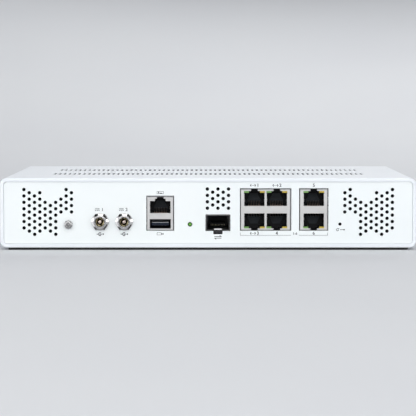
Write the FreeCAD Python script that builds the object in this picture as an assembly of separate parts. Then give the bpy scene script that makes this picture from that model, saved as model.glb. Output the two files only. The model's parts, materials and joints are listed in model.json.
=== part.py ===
"""Desktop network gateway: a flat white housing with copper ports, a fibre module bay and two DC inlets.

Frame: millimetres, +Z up. The port side faces -Y and X runs along it. The origin is the middle of the
footprint, at the level of the surface that the foot strips stand on.
"""
import FreeCAD, Part
import math
import os
from FreeCAD import Vector

# ------------------------------------------------------------------ housing
WIDTH = 260.0            # across the port side
DEPTH = 172.0            # rim to rim
BODY_HEIGHT = 43.5       # housing without its feet
FOOT_HEIGHT = 1.5
CORNER_R = 4.4           # outer corners of the cross-section
WALL = 2.4
RIM_ROUND = 0.7          # outer edge of each rim
RIM_CHAMFER = 0.25       # inner edge of each rim
SEAM_Z = 8.0             # where the cover meets the base tray
SEAM_GAP = 0.1
LAP_HEIGHT = 2.0         # tongue of the base tray inside the cover's wall
LAP_WALL = 0.95

# ------------------------------------------------------------------ end panels
PANEL_RECESS = 0.8
PANEL_GAP = 0.12
PANEL_T = 1.0            # port-side sheet metal
STATUS_T = 2.0           # far-side moulding
BARREL_PROUD = 3.3       # DC barrel in front of the port panel

# ------------------------------------------------------------------ derived places
STICK_OUT = BARREL_PROUD - PANEL_RECESS
FRONT = STICK_OUT - (DEPTH + STICK_OUT) / 2
REAR = FRONT + DEPTH
BOTTOM = FOOT_HEIGHT
TOP = BOTTOM + BODY_HEIGHT
FLOOR = BOTTOM + WALL
CEILING = TOP - WALL
HALF_W = WIDTH / 2
INNER_R = CORNER_R - WALL
PANEL_Y = FRONT + PANEL_RECESS
PANEL_BACK = PANEL_Y + PANEL_T
STATUS_Y = REAR - PANEL_RECESS
STATUS_BACK = STATUS_Y - STATUS_T
MID_Y = (FRONT + REAR) / 2

# ------------------------------------------------------------------ top and base ventilation slots
SLOT_PITCH = 3.17
SLOT_COUNT = 64
SLOT_WIDTH = 1.4
SLOT_LENGTH = 24.0
SLOT_CHAMFER = 0.25
SLOT_ROW_Y = (MID_Y - 27.5, MID_Y + 27.5)
BASE_SLOT_COUNT = 30
BASE_SLOT_PITCH = 2 * SLOT_PITCH
BASE_SLOT_WIDTH = 2.0

# ------------------------------------------------------------------ port panel ventilation holes
VENT_R = 1.08
VENT_COLUMN = 3.294      # column pitch
VENT_HALF_ROW = 2.0      # neighbouring columns are staggered by this much
# one entry per column from the outer end inwards: (first half-row from the top, number of holes)
SIDE_VENT = ((0, 7), (1, 7), (2, 7), (1, 7), (4, 5), (5, 5), (4, 6), (3, 3), (0, 4), (1, 4))
SIDE_VENT_X = 114.95
SIDE_VENT_Z = 37.8
MID_VENT = ((0, 4), (1, 3), (0, 4), (1, 3), (0, 4))
MID_VENT_X = 6.1
MID_VENT_Z = 38.15

# ------------------------------------------------------------------ main board
BOARD_TOP = 12.4
BOARD_T = 1.6
BOARD_X = 112.0
BOARD_Y0 = PANEL_BACK + 1.2
BOARD_Y1 = BOARD_Y0 + 158.0
STANDOFFS = ((-106, -74), (106, -74), (-106, 70), (106, 70), (-20, -45), (62, 62))
SCREW_R = 1.25
SCREW_HOLE_R = 1.3
BOARD_HOLE_R = 1.6

# ------------------------------------------------------------------ processor, memory, storage, clock cell
CHIP_X, CHIP_Y = 5.0, 13.0
CHIP_H = 2.2
PAD_T = 0.8
SINK_X0, SINK_X1 = -45.0, 55.0
SINK_Y0, SINK_Y1 = -22.0, 48.0
SINK_BASE_T = 4.0
SINK_FINS = 21
SINK_FIN_T = 1.6
SINK_TOP = 39.5
SINK_Z = BOARD_TOP + CHIP_H + PAD_T
SINK_SCREW_SEAT = BOARD_TOP + 13.0
SINK_SCREW_LENGTH = 17.0
SINK_NUT_T = 2.0
SINK_SCREWS = [(x, y) for x in (SINK_X0 + 5, SINK_X1 - 5) for y in (SINK_Y0 + 5, SINK_Y1 - 5)]
MEMORY_X1 = -57.4
MEMORY_Y0, MEMORY_Y1 = -21.8, 45.8
MEMORY_Z = 16.0
MEMORY_T = 1.2
STORE_X, STORE_Y0, STORE_Z = 81.0, -22.4, 15.4
CELL_X, CELL_Y, CELL_Z = 96.0, -48.0, 13.6

# ------------------------------------------------------------------ housing fasteners and wall mount
BOSSES = ((-119, -68), (119, -68), (-119, 68), (119, 68))
BOSS_R = 3.25
PANEL_TABS_X = (-60, 60)
PANEL_TAB_Y = FRONT + 16.0
BASE_SCREW_HEAD_R = 2.8
BOSS_SCREW_LENGTH = 8.0
TAB_SCREW_LENGTH = 5.0
COUNTERBORE_R = 3.1
COUNTERBORE_DEPTH = 1.4
KEYHOLES_X = (-80.0, 80.0)
KEYHOLE_Y = 5.0
KEYHOLE_HEAD_R = 4.0
KEYHOLE_SLOT_R = 2.1
KEYHOLE_TRAVEL = 9.0
KEYHOLE_CLEAR = 8.0       # no base slot beside a keyhole

# ------------------------------------------------------------------ foot strips
STRIP_LENGTH = 250.0
STRIP_WIDTH = 9.0
STRIP_INSET = 1.6        # from each rim

# ------------------------------------------------------------------ connectors on the port side
SHEET = 0.25             # shield and cage metal
JACK_FRONT = PANEL_Y - 0.3
CUTOUT_GAP = 0.52        # panel cut-out beside and above a shield, bridged by its spring fingers
CUTOUT_GAP_BELOW = 0.32
SHIELD_ROUND = 0.12
FINGER_PITCH = 2.0
FINGER_WIDTH = 1.5
FINGER_LENGTH = 5.0
FINGER_MARGIN = 0.6      # from the shield's corners to the first finger
TOP_FINGER_BULGE = CUTOUT_GAP - 0.18
LEFT_FINGER_BULGE = CUTOUT_GAP - 0.22
RIGHT_FINGER_BULGE = 0.12
JACK_Z0 = BOARD_TOP
JACK_Z1 = 38.05
JACK_DEPTH = 26.0
PORT_WIDTH = 12.6
PORT_PITCH = 14.0
PORT_FLOOR = 2.33        # half of the web between the upper and the lower port
PORT_HEIGHT = 8.25
LIGHT_HEIGHT = 1.1
LIGHT_WIDTH = 3.05
LIGHT_OVERHANG = 0.2     # how far the lights reach beyond the port's sides
LIGHT_LEDGE = 0.3        # housing wall between the plug's space and the lights
LIGHT_GAP = 6.8          # between the two lights of a port
LATCH_NOTCH = 4.25
PORT_DEPTH = 13.0
CONTACT_PITCH = 1.02
QUAD_X = 35.85
QUAD_HALF = 15.5
DUAL_X = 65.9
DUAL_HALF = 8.6
JACK_MID = (JACK_Z0 + JACK_Z1) / 2

COMBO_X = -29.9
COMBO_HALF = 8.15
COMBO_Z1 = 33.45
COMBO_DEPTH = 22.0
CONSOLE_Z0 = 23.1
CONSOLE_Z1 = 30.6
CONSOLE_STEPS = ((6.7, 32.1), (4.3, 33.3))    # (width, top) of the latch notch's two steps
CONSOLE_SPRING_Z = CONSOLE_Z0 + 3.3
USB_Z0 = 13.45
USB_Z1 = 19.35
USB_WIDTH = 13.2
USB_DEPTH = 14.0
USB_SHELL_T = 0.3
USB_FLARE = 1.0          # how far the shell's upper lip spreads at the mouth
USB_TONGUE_Z = 15.2
USB_TONGUE_T = 1.8
USB_PLATE_T = 0.45       # metal plate on the tongue
USB_TONGUE_HALF = 5.4
USB_TONGUE_Y = JACK_FRONT + 1.2

SFP_X = 6.1
SFP_WIDTH = 14.25
SFP_Z0 = BOARD_TOP
SFP_Z1 = 22.0
SFP_DEPTH = 48.0
SFP_CONNECTOR_DEPTH = 11.0
SFP_CONTACT_PITCH = 0.95
SFP_FRONT = PANEL_Y - 0.5
SFP_CUTOUT = (7.75, 11.9, 22.3)               # half width, bottom, top
LEAF_HALF = 2.35
LEAF_ROOT_Y = PANEL_Y + 10.0
LEAF_T = 0.3
LEAF_LIP_Z = 11.0
LEAF_NOTCH_Z = 9.9
LEAF_NOTCH_HALF = 2.85

DC_X = (-67.5, -52.45)
DC_Z = 17.6
BARREL_R = 4.0
BARREL_BORE = 3.3
SOCKET_R = 3.05
SLEEVE_T = 0.22          # split contact sleeve inside the socket
DC_PIN_R = 1.2
NUT_FLATS = 10.0
NUT_RING = 0.25          # narrow flat ring round the barrel at the front of a nut
NUT_CONE = 31.0          # slope of the nut's turned front, in degrees from the panel
NUT_T = 2.0
WASHER_R = 5.45
WASHER_T = 0.5
FLANGE_T = 0.8
THREAD_PITCH = 0.75

GROUND_X, GROUND_Z = -87.3, 15.9
GROUND_PAD_R = 4.4
GROUND_PAD_T = 0.2
GROUND_WASHER_T = 0.4
LED_X, LED_Z, LED_R = -11.35, 16.05, 1.35
RESET_X, RESET_Z, RESET_HOLE_R = 82.3, 16.2, 1.0
RESET_STEM_R = 0.95
RESET_TRAVEL = 0.5
RESET_TIP_Y = PANEL_BACK + 0.7
RESET_BODY_Y = PANEL_BACK + 2.2

# ------------------------------------------------------------------ far-side status lights
STATUS_X = (95, 88, 81, 66, 59, 52, 45, 38, 31, 24)
STATUS_ROWS = (17.0, 22.0)
SYSTEM_LIGHTS = 3        # the first lights, in the upper row only
PIPE_R = 0.95


# ================================================================== helpers
def box(x0, x1, y0, y1, z0, z1):
    return Part.makeBox(x1 - x0, y1 - y0, z1 - z0, Vector(x0, y0, z0))


def cyl_y(x, z, r, y0, y1):
    return Part.makeCylinder(r, y1 - y0, Vector(x, y0, z), Vector(0, 1, 0))


def cyl_z(x, y, r, z0, z1):
    return Part.makeCylinder(r, z1 - z0, Vector(x, y, z0), Vector(0, 0, 1))


def rounded_wire(a0, a1, b0, b1, r, place):
    """Closed rounded rectangle; place(a, b) gives the 3-D point."""
    k = r * (1 - math.sqrt(0.5))
    ends = [((a1, b0 + r), (a1, b1 - r)), ((a1 - r, b1), (a0 + r, b1)),
            ((a0, b1 - r), (a0, b0 + r)), ((a0 + r, b0), (a1 - r, b0))]
    mids = [(a1 - k, b1 - k), (a0 + k, b1 - k), (a0 + k, b0 + k), (a1 - k, b0 + k)]
    edges = []
    for i, (start, end) in enumerate(ends):
        edges.append(Part.LineSegment(place(*start), place(*end)).toShape())
        following = ends[(i + 1) % 4][0]
        edges.append(Part.Arc(place(*end), place(*mids[i]), place(*following)).toShape())
    return Part.Wire(edges)


def section_wire(inset, y):
    """The housing's cross-section, shrunk by inset, at depth y."""
    return rounded_wire(-HALF_W + inset, HALF_W - inset, BOTTOM + inset, TOP - inset,
                        CORNER_R - inset, lambda a, b: Vector(a, y, b))


def section_prism(inset, y0, y1):
    return Part.Face(section_wire(inset, y0)).extrude(Vector(0, y1 - y0, 0))


def polygon_x(points, x0, x1):
    """A prism along X whose outline is a list of (y, z)."""
    wire = Part.makePolygon([Vector(x0, y, z) for y, z in points + points[:1]])
    return Part.Face(wire).extrude(Vector(x1 - x0, 0, 0))


def polygon_y(points, y0, y1):
    """A prism along Y whose outline is a list of (x, z)."""
    wire = Part.makePolygon([Vector(x, y0, z) for x, z in points + points[:1]])
    return Part.Face(wire).extrude(Vector(0, y1 - y0, 0))


def hexagon_y(x, z, flats, y0, y1):
    """A hexagonal prism along Y with corners on its left and right."""
    r = flats / math.sqrt(3)
    corners = []
    for i in range(6):
        angle = math.radians(60 * i)
        corners.append((x + r * math.cos(angle), z + r * math.sin(angle)))
    return polygon_y(corners, y0, y1)


def slot_wire(x, y0, y1, half, z):
    """A round-ended slot outline along Y."""
    a, b = y0 + half, y1 - half
    return Part.Wire([
        Part.LineSegment(Vector(x + half, a, z), Vector(x + half, b, z)).toShape(),
        Part.Arc(Vector(x + half, b, z), Vector(x, y1, z), Vector(x - half, b, z)).toShape(),
        Part.LineSegment(Vector(x - half, b, z), Vector(x - half, a, z)).toShape(),
        Part.Arc(Vector(x - half, a, z), Vector(x, y0, z), Vector(x + half, a, z)).toShape()])


def slot_tools(x, y, length, width, z_face, z_far):
    """Two cutters for one slot: the slot itself, and the chamfer where it meets the outer face."""
    y0, y1, half = y - length / 2, y + length / 2, width / 2
    outward = 1 if z_face > z_far else -1
    depth = z_far - z_face - 2 * outward
    through = Part.Face(slot_wire(x, y0, y1, half, z_face + outward)).extrude(Vector(0, 0, depth))
    c = SLOT_CHAMFER
    flare = Part.makeLoft([slot_wire(x, y0 - c, y1 + c, half + c, z_face),
                           slot_wire(x, y0, y1, half, z_face - outward * c)], True, True)
    return [through, flare]


def fuse(shapes):
    return shapes[0].multiFuse(shapes[1:]) if len(shapes) > 1 else shapes[0]


def cut(shape, tools):
    return shape.cut(Part.makeCompound(tools))


def mirror_x(shape):
    return shape.mirror(Vector(0, 0, 0), Vector(1, 0, 0))


def mirror_z(shape, z):
    return shape.mirror(Vector(0, 0, z), Vector(0, 0, 1))


def round_edges(shape, radius, wanted):
    """Fillets the edges for which wanted(edge) is true."""
    return shape.makeFillet(radius, [e for e in shape.Edges if wanted(e)])


def at_y(y):
    return lambda e: abs(e.BoundBox.YMin - y) < 1e-6 and abs(e.BoundBox.YMax - y) < 1e-6


def at_z(z):
    return lambda e: abs(e.BoundBox.ZMin - z) < 1e-6 and abs(e.BoundBox.ZMax - z) < 1e-6


def upright(e):
    return e.BoundBox.XLength < 1e-6 and e.BoundBox.YLength < 1e-6


def chip(x, y, width, length, height, z=BOARD_TOP, edge=0.2):
    """A component body with a bevelled upper edge."""
    body = box(x - width / 2, x + width / 2, y - length / 2, y + length / 2, z, z + height)
    return body.makeChamfer(edge, [e for e in body.Edges if at_z(z + height)(e)])


def pan_screw(head_r, head_h, shank_r, shank_length, drive=0.52):
    """A domed cross-recess screw at the origin: head above z 0, shank below it."""
    rim = 0.45 * head_h
    crown_r = 0.62 * head_r
    shoulder = Vector(0.5 * (head_r + crown_r) + 0.09 * head_r, 0, rim + 0.66 * (head_h - rim))
    outline = [
        Part.LineSegment(Vector(0, 0, -shank_length), Vector(shank_r, 0, -shank_length)).toShape(),
        Part.LineSegment(Vector(shank_r, 0, -shank_length), Vector(shank_r, 0, 0)).toShape(),
        Part.LineSegment(Vector(shank_r, 0, 0), Vector(head_r, 0, 0)).toShape(),
        Part.LineSegment(Vector(head_r, 0, 0), Vector(head_r, 0, rim)).toShape(),
        Part.Arc(Vector(head_r, 0, rim), shoulder, Vector(crown_r, 0, head_h)).toShape(),
        Part.LineSegment(Vector(crown_r, 0, head_h), Vector(0, 0, head_h)).toShape(),
        Part.LineSegment(Vector(0, 0, head_h), Vector(0, 0, -shank_length)).toShape()]
    body = Part.Face(Part.Wire(outline)).revolve(Vector(0, 0, 0), Vector(0, 0, 1), 360)
    arm, wing, depth = drive * head_r, 0.17 * head_r, 0.75 * head_h
    narrow = 0.35
    recess = []
    for turn in (0, 90):
        mouth = Part.makePolygon([Vector(sx * arm, sy * wing, head_h + 0.01)
                                  for sx, sy in ((-1, -1), (1, -1), (1, 1), (-1, 1), (-1, -1))])
        foot = Part.makePolygon([Vector(sx * arm * narrow, sy * wing * 0.7, head_h - depth)
                                 for sx, sy in ((-1, -1), (1, -1), (1, 1), (-1, 1), (-1, -1))])
        wedge = Part.makeLoft([mouth, foot], True, True)
        wedge.rotate(Vector(0, 0, 0), Vector(0, 0, 1), turn)
        recess.append(wedge)
    return body.cut(fuse(recess))


def placed(shape, x, y, z, axis=None, angle=0.0):
    """A copy of a shape made at the origin, turned about axis and then moved."""
    copy = shape.copy()
    if axis is not None:
        copy.rotate(Vector(0, 0, 0), axis, angle)
    copy.translate(Vector(x, y, z))
    return copy


# ================================================================== housing
def housing_tube():
    outer = round_edges(section_prism(0, FRONT, REAR), RIM_ROUND, lambda e: at_y(FRONT)(e) or at_y(REAR)(e))
    hollow = section_prism(WALL, FRONT - 1, REAR + 1)
    flares = []
    for y, inward in ((FRONT, 1), (REAR, -1)):
        mouth = section_wire(WALL - RIM_CHAMFER, y)
        throat = section_wire(WALL, y + inward * RIM_CHAMFER)
        flares.append(Part.makeLoft([mouth, throat], True, True))
    return cut(outer, [hollow] + flares)


def side_laps(x_in, x_out, z0, z1, y_margin):
    """One block along each side wall, between two distances from the middle."""
    right = box(x_in, x_out, FRONT + y_margin, REAR - y_margin, z0, z1)
    return [right, mirror_x(right)]


def top_cover(tube):
    edge = SEAM_Z + SEAM_GAP / 2
    upper = tube.common(box(-WIDTH, WIDTH, FRONT - 1, REAR + 1, edge, TOP + 1))
    rebate = side_laps(HALF_W - WALL - 0.5, HALF_W - WALL + LAP_WALL + SEAM_GAP, edge - 1,
                       SEAM_Z + LAP_HEIGHT + SEAM_GAP, 1.4)
    slots = []
    for row_y in SLOT_ROW_Y:
        for i in range(SLOT_COUNT):
            x = (i - (SLOT_COUNT - 1) / 2) * SLOT_PITCH
            slots += slot_tools(x, row_y, SLOT_LENGTH, SLOT_WIDTH, TOP, CEILING)
    upper = cut(upper, rebate + slots)
    bosses = [cyl_z(x, y, BOSS_R, FLOOR + 0.05, CEILING + 0.5) for x, y in BOSSES]
    pilots = [cyl_z(x, y, SCREW_HOLE_R, FLOOR - 1, FLOOR + 9) for x, y in BOSSES]
    rib = 2.0
    ribs = []
    for y0 in (PANEL_BACK + 0.1, STATUS_BACK - 0.1 - rib):
        stop = box(HALF_W - WALL - rib, HALF_W - WALL + 0.5, y0, y0 + rib, 12, 38)
        ribs += [stop, mirror_x(stop)]
    return cut(fuse([upper] + bosses + ribs), pilots)


def keyhole(x):
    """A round entry for a screw head, with a slot running towards the far side for its neck."""
    y1, z0, z1 = KEYHOLE_Y + KEYHOLE_TRAVEL, BOTTOM - 1, FLOOR + 1
    entry = cyl_z(x, KEYHOLE_Y, KEYHOLE_HEAD_R, z0, z1)
    neck = box(x - KEYHOLE_SLOT_R, x + KEYHOLE_SLOT_R, KEYHOLE_Y, y1, z0, z1)
    end = cyl_z(x, y1, KEYHOLE_SLOT_R, z0, z1)
    return [entry, neck, end]


def base_screw_places():
    return list(BOSSES) + [(x, PANEL_TAB_Y) for x in PANEL_TABS_X]


def base_tray(tube):
    edge = SEAM_Z - SEAM_GAP / 2
    lower = tube.common(box(-WIDTH, WIDTH, FRONT - 1, REAR + 1, BOTTOM - 1, edge))
    tongues = side_laps(HALF_W - WALL, HALF_W - WALL + LAP_WALL, edge - 1, SEAM_Z + LAP_HEIGHT, 1.5)
    tools = []
    for x, y in base_screw_places():
        tools.append(cyl_z(x, y, BOARD_HOLE_R, BOTTOM - 1, FLOOR + 1))
        tools.append(cyl_z(x, y, COUNTERBORE_R, BOTTOM - 1, BOTTOM + COUNTERBORE_DEPTH))
    for x in KEYHOLES_X:
        tools += keyhole(x)
    for row_y in SLOT_ROW_Y:
        for i in range(BASE_SLOT_COUNT):
            x = (i - (BASE_SLOT_COUNT - 1) / 2) * BASE_SLOT_PITCH
            if row_y < MID_Y or abs(x) < KEYHOLES_X[1] - KEYHOLE_CLEAR:
                tools += slot_tools(x, row_y, SLOT_LENGTH, BASE_SLOT_WIDTH, BOTTOM, FLOOR)
    return cut(fuse([lower] + tongues), tools)


def foot_strip(y0):
    x = STRIP_LENGTH / 2
    body = Part.Face(rounded_wire(-x, x, y0, y0 + STRIP_WIDTH, 1.5, lambda a, b: Vector(a, b, 0)))
    body = body.extrude(Vector(0, 0, FOOT_HEIGHT))
    return round_edges(body, 0.3, at_z(0))


def base_screws():
    seat = BOTTOM + COUNTERBORE_DEPTH
    screws = []
    for x, y in base_screw_places():
        length = BOSS_SCREW_LENGTH if (x, y) in BOSSES else TAB_SCREW_LENGTH
        screw = pan_screw(BASE_SCREW_HEAD_R, 1.2, SCREW_R, length)
        screws.append(placed(screw, x, y, seat, Vector(1, 0, 0), 180))
    return screws


# ================================================================== end panels
def vent_holes(columns, x0, step, z_top):
    holes = []
    for i, (first, count) in enumerate(columns):
        for k in range(count):
            z = z_top - VENT_HALF_ROW * (first + 2 * k)
            holes.append(cyl_y(x0 + i * step, z, VENT_R, PANEL_Y - 1, PANEL_BACK + 1))
    return holes


def panel_plate(y0, y1):
    return section_prism(WALL + PANEL_GAP, y0, y1)


def io_panel():
    plate = panel_plate(PANEL_Y, PANEL_BACK)
    flange_top = CEILING - PANEL_GAP - 0.05
    flange = box(-118, 118, PANEL_Y + 0.5, FRONT + 9, flange_top - PANEL_T, flange_top)
    tabs = [box(x - 7, x + 7, PANEL_Y + 0.5, FRONT + 21, FLOOR + PANEL_GAP, FLOOR + PANEL_GAP + PANEL_T)
            for x in PANEL_TABS_X]
    pad = cyl_y(GROUND_X, GROUND_Z, GROUND_PAD_R, PANEL_Y - GROUND_PAD_T, PANEL_Y + 0.2)
    pad = pad.makeChamfer(0.15, [e for e in pad.Edges if at_y(PANEL_Y - GROUND_PAD_T)(e)])
    y0, y1 = PANEL_Y - 1, PANEL_BACK + 1
    g, below = CUTOUT_GAP, CUTOUT_GAP_BELOW
    holes = vent_holes(SIDE_VENT, -SIDE_VENT_X, VENT_COLUMN, SIDE_VENT_Z)
    holes += vent_holes(SIDE_VENT, SIDE_VENT_X, -VENT_COLUMN, SIDE_VENT_Z)
    mid_start = MID_VENT_X - VENT_COLUMN * (len(MID_VENT) - 1) / 2
    holes += vent_holes(MID_VENT, mid_start, VENT_COLUMN, MID_VENT_Z)
    stacks = ((QUAD_X, QUAD_HALF, JACK_Z1), (DUAL_X, DUAL_HALF, JACK_Z1), (COMBO_X, COMBO_HALF, COMBO_Z1))
    for x, half, z1 in stacks:
        holes.append(box(x - half - g, x + half + g, y0, y1, JACK_Z0 - below, z1 + g))
    half, z0, z1 = SFP_CUTOUT
    holes.append(box(SFP_X - half, SFP_X + half, y0, y1, z0, z1))
    holes.append(box(SFP_X - LEAF_NOTCH_HALF, SFP_X + LEAF_NOTCH_HALF, y0, y1, LEAF_NOTCH_Z, z0 + 1))
    holes += [cyl_y(x, DC_Z, BARREL_R + 0.1, y0, y1) for x in DC_X]
    holes.append(cyl_y(GROUND_X, GROUND_Z, BOARD_HOLE_R, y0, y1))
    holes.append(cyl_y(LED_X, LED_Z, LED_R + 0.1, y0, y1))
    holes.append(cyl_y(RESET_X, RESET_Z, RESET_HOLE_R, y0, y1))
    holes += [cyl_z(x, PANEL_TAB_Y, SCREW_HOLE_R, FLOOR - 1, FLOOR + 2) for x in PANEL_TABS_X]
    return cut(fuse([plate, flange, pad] + tabs), holes)


def status_places():
    places = []
    for i, x in enumerate(STATUS_X):
        rows = STATUS_ROWS[1:] if i < SYSTEM_LIGHTS else STATUS_ROWS
        places += [(x, z) for z in rows]
    return places


def status_panel():
    plate = panel_plate(STATUS_BACK, STATUS_Y)
    plate = round_edges(plate, 0.3, at_y(STATUS_Y))
    holes = [cyl_y(x, z, PIPE_R + 0.05, STATUS_BACK - 1, STATUS_Y + 1) for x, z in status_places()]
    return cut(plate, holes)


def light_guide():
    """Clear comb behind the far panel: one pin for each status light, on a common bar above the board."""
    bar_y0, bar_y1 = BOARD_Y1 - 5.5, BOARD_Y1 - 1.0
    bar = box(STATUS_X[-1] - 3, STATUS_X[0] + 3, bar_y0, bar_y1, BOARD_TOP + 1.2, STATUS_ROWS[1] + 2)
    pins = [cyl_y(x, z, PIPE_R, bar_y1 - 0.5, STATUS_Y + 0.1) for x, z in status_places()]
    return fuse([bar] + pins)


# ================================================================== main board and what it carries
def main_board():
    outline = rounded_wire(-BOARD_X, BOARD_X, BOARD_Y0, BOARD_Y1, 2.0, lambda a, b: Vector(a, b, BOARD_TOP))
    board = Part.Face(outline).extrude(Vector(0, 0, -BOARD_T))
    z0, z1 = BOARD_TOP - 3, BOARD_TOP + 1
    holes = [cyl_z(x, y, BOARD_HOLE_R, z0, z1) for x, y in list(STANDOFFS) + SINK_SCREWS]
    half = LEAF_NOTCH_HALF + 0.4
    holes.append(box(SFP_X - half, SFP_X + half, BOARD_Y0 - 1, LEAF_ROOT_Y + 1, z0, z1))
    return cut(board, holes)


def board_standoffs():
    posts = []
    for x, y in STANDOFFS:
        post = hexagon_y(0, 0, 5.5, 0, BOARD_TOP - BOARD_T - FLOOR)
        post = placed(post, x, y, FLOOR, Vector(1, 0, 0), 90)
        posts.append(post.cut(cyl_z(x, y, SCREW_HOLE_R, FLOOR - 1, BOARD_TOP)))
    return posts


def board_screws():
    screw = pan_screw(2.8, 1.9, SCREW_R, 6.0)
    return [placed(screw, x, y, BOARD_TOP) for x, y in STANDOFFS]


def processor():
    substrate = box(CHIP_X - 14, CHIP_X + 14, CHIP_Y - 14, CHIP_Y + 14, BOARD_TOP, BOARD_TOP + 1.2)
    lid = chip(CHIP_X, CHIP_Y, 22, 22, CHIP_H - 1.2, BOARD_TOP + 1.2, 0.3)
    return fuse([substrate, lid])


def thermal_pad():
    return box(CHIP_X - 11, CHIP_X + 11, CHIP_Y - 11, CHIP_Y + 11, BOARD_TOP + CHIP_H, SINK_Z)


def heatsink():
    base = box(SINK_X0, SINK_X1, SINK_Y0, SINK_Y1, SINK_Z, SINK_Z + SINK_BASE_T)
    pitch = (SINK_X1 - SINK_X0 - SINK_FIN_T) / (SINK_FINS - 1)
    fins = [box(SINK_X0 + i * pitch, SINK_X0 + i * pitch + SINK_FIN_T, SINK_Y0, SINK_Y1, SINK_Z, SINK_TOP)
            for i in range(SINK_FINS)]
    wells = [cyl_z(x, y, 4.0, SINK_Z + SINK_BASE_T, SINK_TOP + 1) for x, y in SINK_SCREWS]
    bores = [cyl_z(x, y, BOARD_HOLE_R, SINK_Z - 1, SINK_Z + 10) for x, y in SINK_SCREWS]
    return cut(fuse([base] + fins), wells + bores)


def heatsink_screws():
    screw = pan_screw(2.8, 1.6, SCREW_R, SINK_SCREW_LENGTH)
    return [placed(screw, x, y, SINK_SCREW_SEAT) for x, y in SINK_SCREWS]


def heatsink_nuts():
    """Nuts under the board that the heatsink's screws reach."""
    z1 = BOARD_TOP - BOARD_T
    nuts = []
    for x, y in SINK_SCREWS:
        nut = placed(hexagon_y(0, 0, 5.0, 0, SINK_NUT_T), x, y, z1 - SINK_NUT_T, Vector(1, 0, 0), 90)
        nuts.append(nut.cut(cyl_z(x, y, SCREW_HOLE_R, z1 - SINK_NUT_T - 1, z1 + 1)))
    return nuts


def heatsink_springs():
    """Coil springs that press the heatsink down on the processor."""
    wire_r, coil_r, turns = 0.3, 2.1, 4
    z0, z1 = SINK_Z + SINK_BASE_T + wire_r + 0.05, SINK_SCREW_SEAT - wire_r - 0.05
    springs = []
    for x, y in SINK_SCREWS:
        helix = Part.makeHelix((z1 - z0) / turns, z1 - z0, coil_r)
        ring = Part.Wire([Part.makeCircle(wire_r, Vector(coil_r, 0, 0), Vector(0, 1, 0))])
        coil = Part.Wire(helix.Edges).makePipeShell([ring], True, True)
        springs.append(placed(coil, x, y, z0))
    return springs


def memory_socket():
    body = box(-60, -54, MEMORY_Y0 - 2.6, MEMORY_Y1 + 2.6, BOARD_TOP, MEMORY_Z + 1.9)
    body = body.cut(box(-61, MEMORY_X1 + 0.1, MEMORY_Y0 - 0.1, MEMORY_Y1 + 0.1,
                        MEMORY_Z - 0.05, MEMORY_Z + MEMORY_T + 0.05))
    arms = [box(-86, -59.5, y, y + 2.2, BOARD_TOP, MEMORY_Z + 1.4)
            for y in (MEMORY_Y0 - 2.5, MEMORY_Y1 + 0.3)]
    return fuse([body] + arms)


def memory_module():
    board = box(MEMORY_X1 - 30, MEMORY_X1, MEMORY_Y0, MEMORY_Y1, MEMORY_Z, MEMORY_Z + MEMORY_T)
    chips = [chip(-74, MEMORY_Y0 + 9 + i * 16.5, 13, 9.5, 1.0, MEMORY_Z + MEMORY_T) for i in range(4)]
    return fuse([board] + chips)


def storage_socket():
    body = box(STORE_X - 11, STORE_X + 11, STORE_Y0 - 5.6, STORE_Y0 + 3, BOARD_TOP, STORE_Z + 1.8)
    slot_z0, slot_z1 = STORE_Z - 0.05, STORE_Z + 0.85
    return body.cut(box(STORE_X - 10, STORE_X + 10, STORE_Y0 - 0.1, STORE_Y0 + 4, slot_z0, slot_z1))


def storage_module():
    board = box(STORE_X - 9.9, STORE_X + 9.9, STORE_Y0, STORE_Y0 + 42, STORE_Z, STORE_Z + 0.8)
    board = board.cut(cyl_z(STORE_X, STORE_Y0 + 42, 1.75, STORE_Z - 1, STORE_Z + 2))
    return fuse([board, chip(STORE_X, STORE_Y0 + 14, 14, 12, 1.2, STORE_Z + 0.8),
                 chip(STORE_X, STORE_Y0 + 30, 12, 12, 1.0, STORE_Z + 0.8)])


def storage_screw():
    """Low screw at the card's round notch, standing on its own post."""
    post = cyl_z(0, 0, 2.2, BOARD_TOP - STORE_Z, 0)
    collar = cyl_z(0, 0, 1.7, 0, 0.8)
    head = placed(pan_screw(2.6, 1.0, 1.7, 0.2), 0, 0, 0.8)
    return [placed(fuse([post, collar, head]), STORE_X, STORE_Y0 + 42, STORE_Z)]


def board_chips():
    places = ((-35, -48, 9, 9, 1.4), (-92, -52, 12, 8, 1.6), (-98, 30, 8, 14, 1.2), (70, -48, 10, 10, 1.4),
              (92, 45, 14, 14, 1.6), (75, 40, 6, 5, 1.2), (-75, 62, 10, 8, 1.4), (20, 60, 12, 6, 1.4),
              (98, -10, 5, 6, 1.2), (-30, 62, 7, 7, 1.0))
    parts = [chip(*p) for p in places]
    for i, x in enumerate(STATUS_X):
        parts.append(chip(x, BOARD_Y1 - 3.2, 1.6, 0.9, 0.8, edge=0.1))
    return parts


def power_inductors():
    parts = []
    for x, y in ((-72, -52), (-62, -52), (-52, -52), (-72, -40)):
        body = chip(x, y, 7.2, 7.2, 4.2, edge=0.5)
        parts.append(round_edges(body, 0.6, lambda e: upright(e) and e.Length > 2))
    return parts


def filter_capacitors():
    """Can capacitors with their crimp ring near the base and a domed edge."""
    parts = []
    for x, y in ((-86, -60), (-96, -60), (-40, -38), (-104, -44), (-104, -56)):
        can = round_edges(cyl_z(x, y, 4.0, BOARD_TOP, BOARD_TOP + 11.5), 0.6, at_z(BOARD_TOP + 11.5))
        groove = Part.makeTorus(4.15, 0.45, Vector(x, y, BOARD_TOP + 2.2))
        parts.append(can.cut(groove))
    return parts


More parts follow.
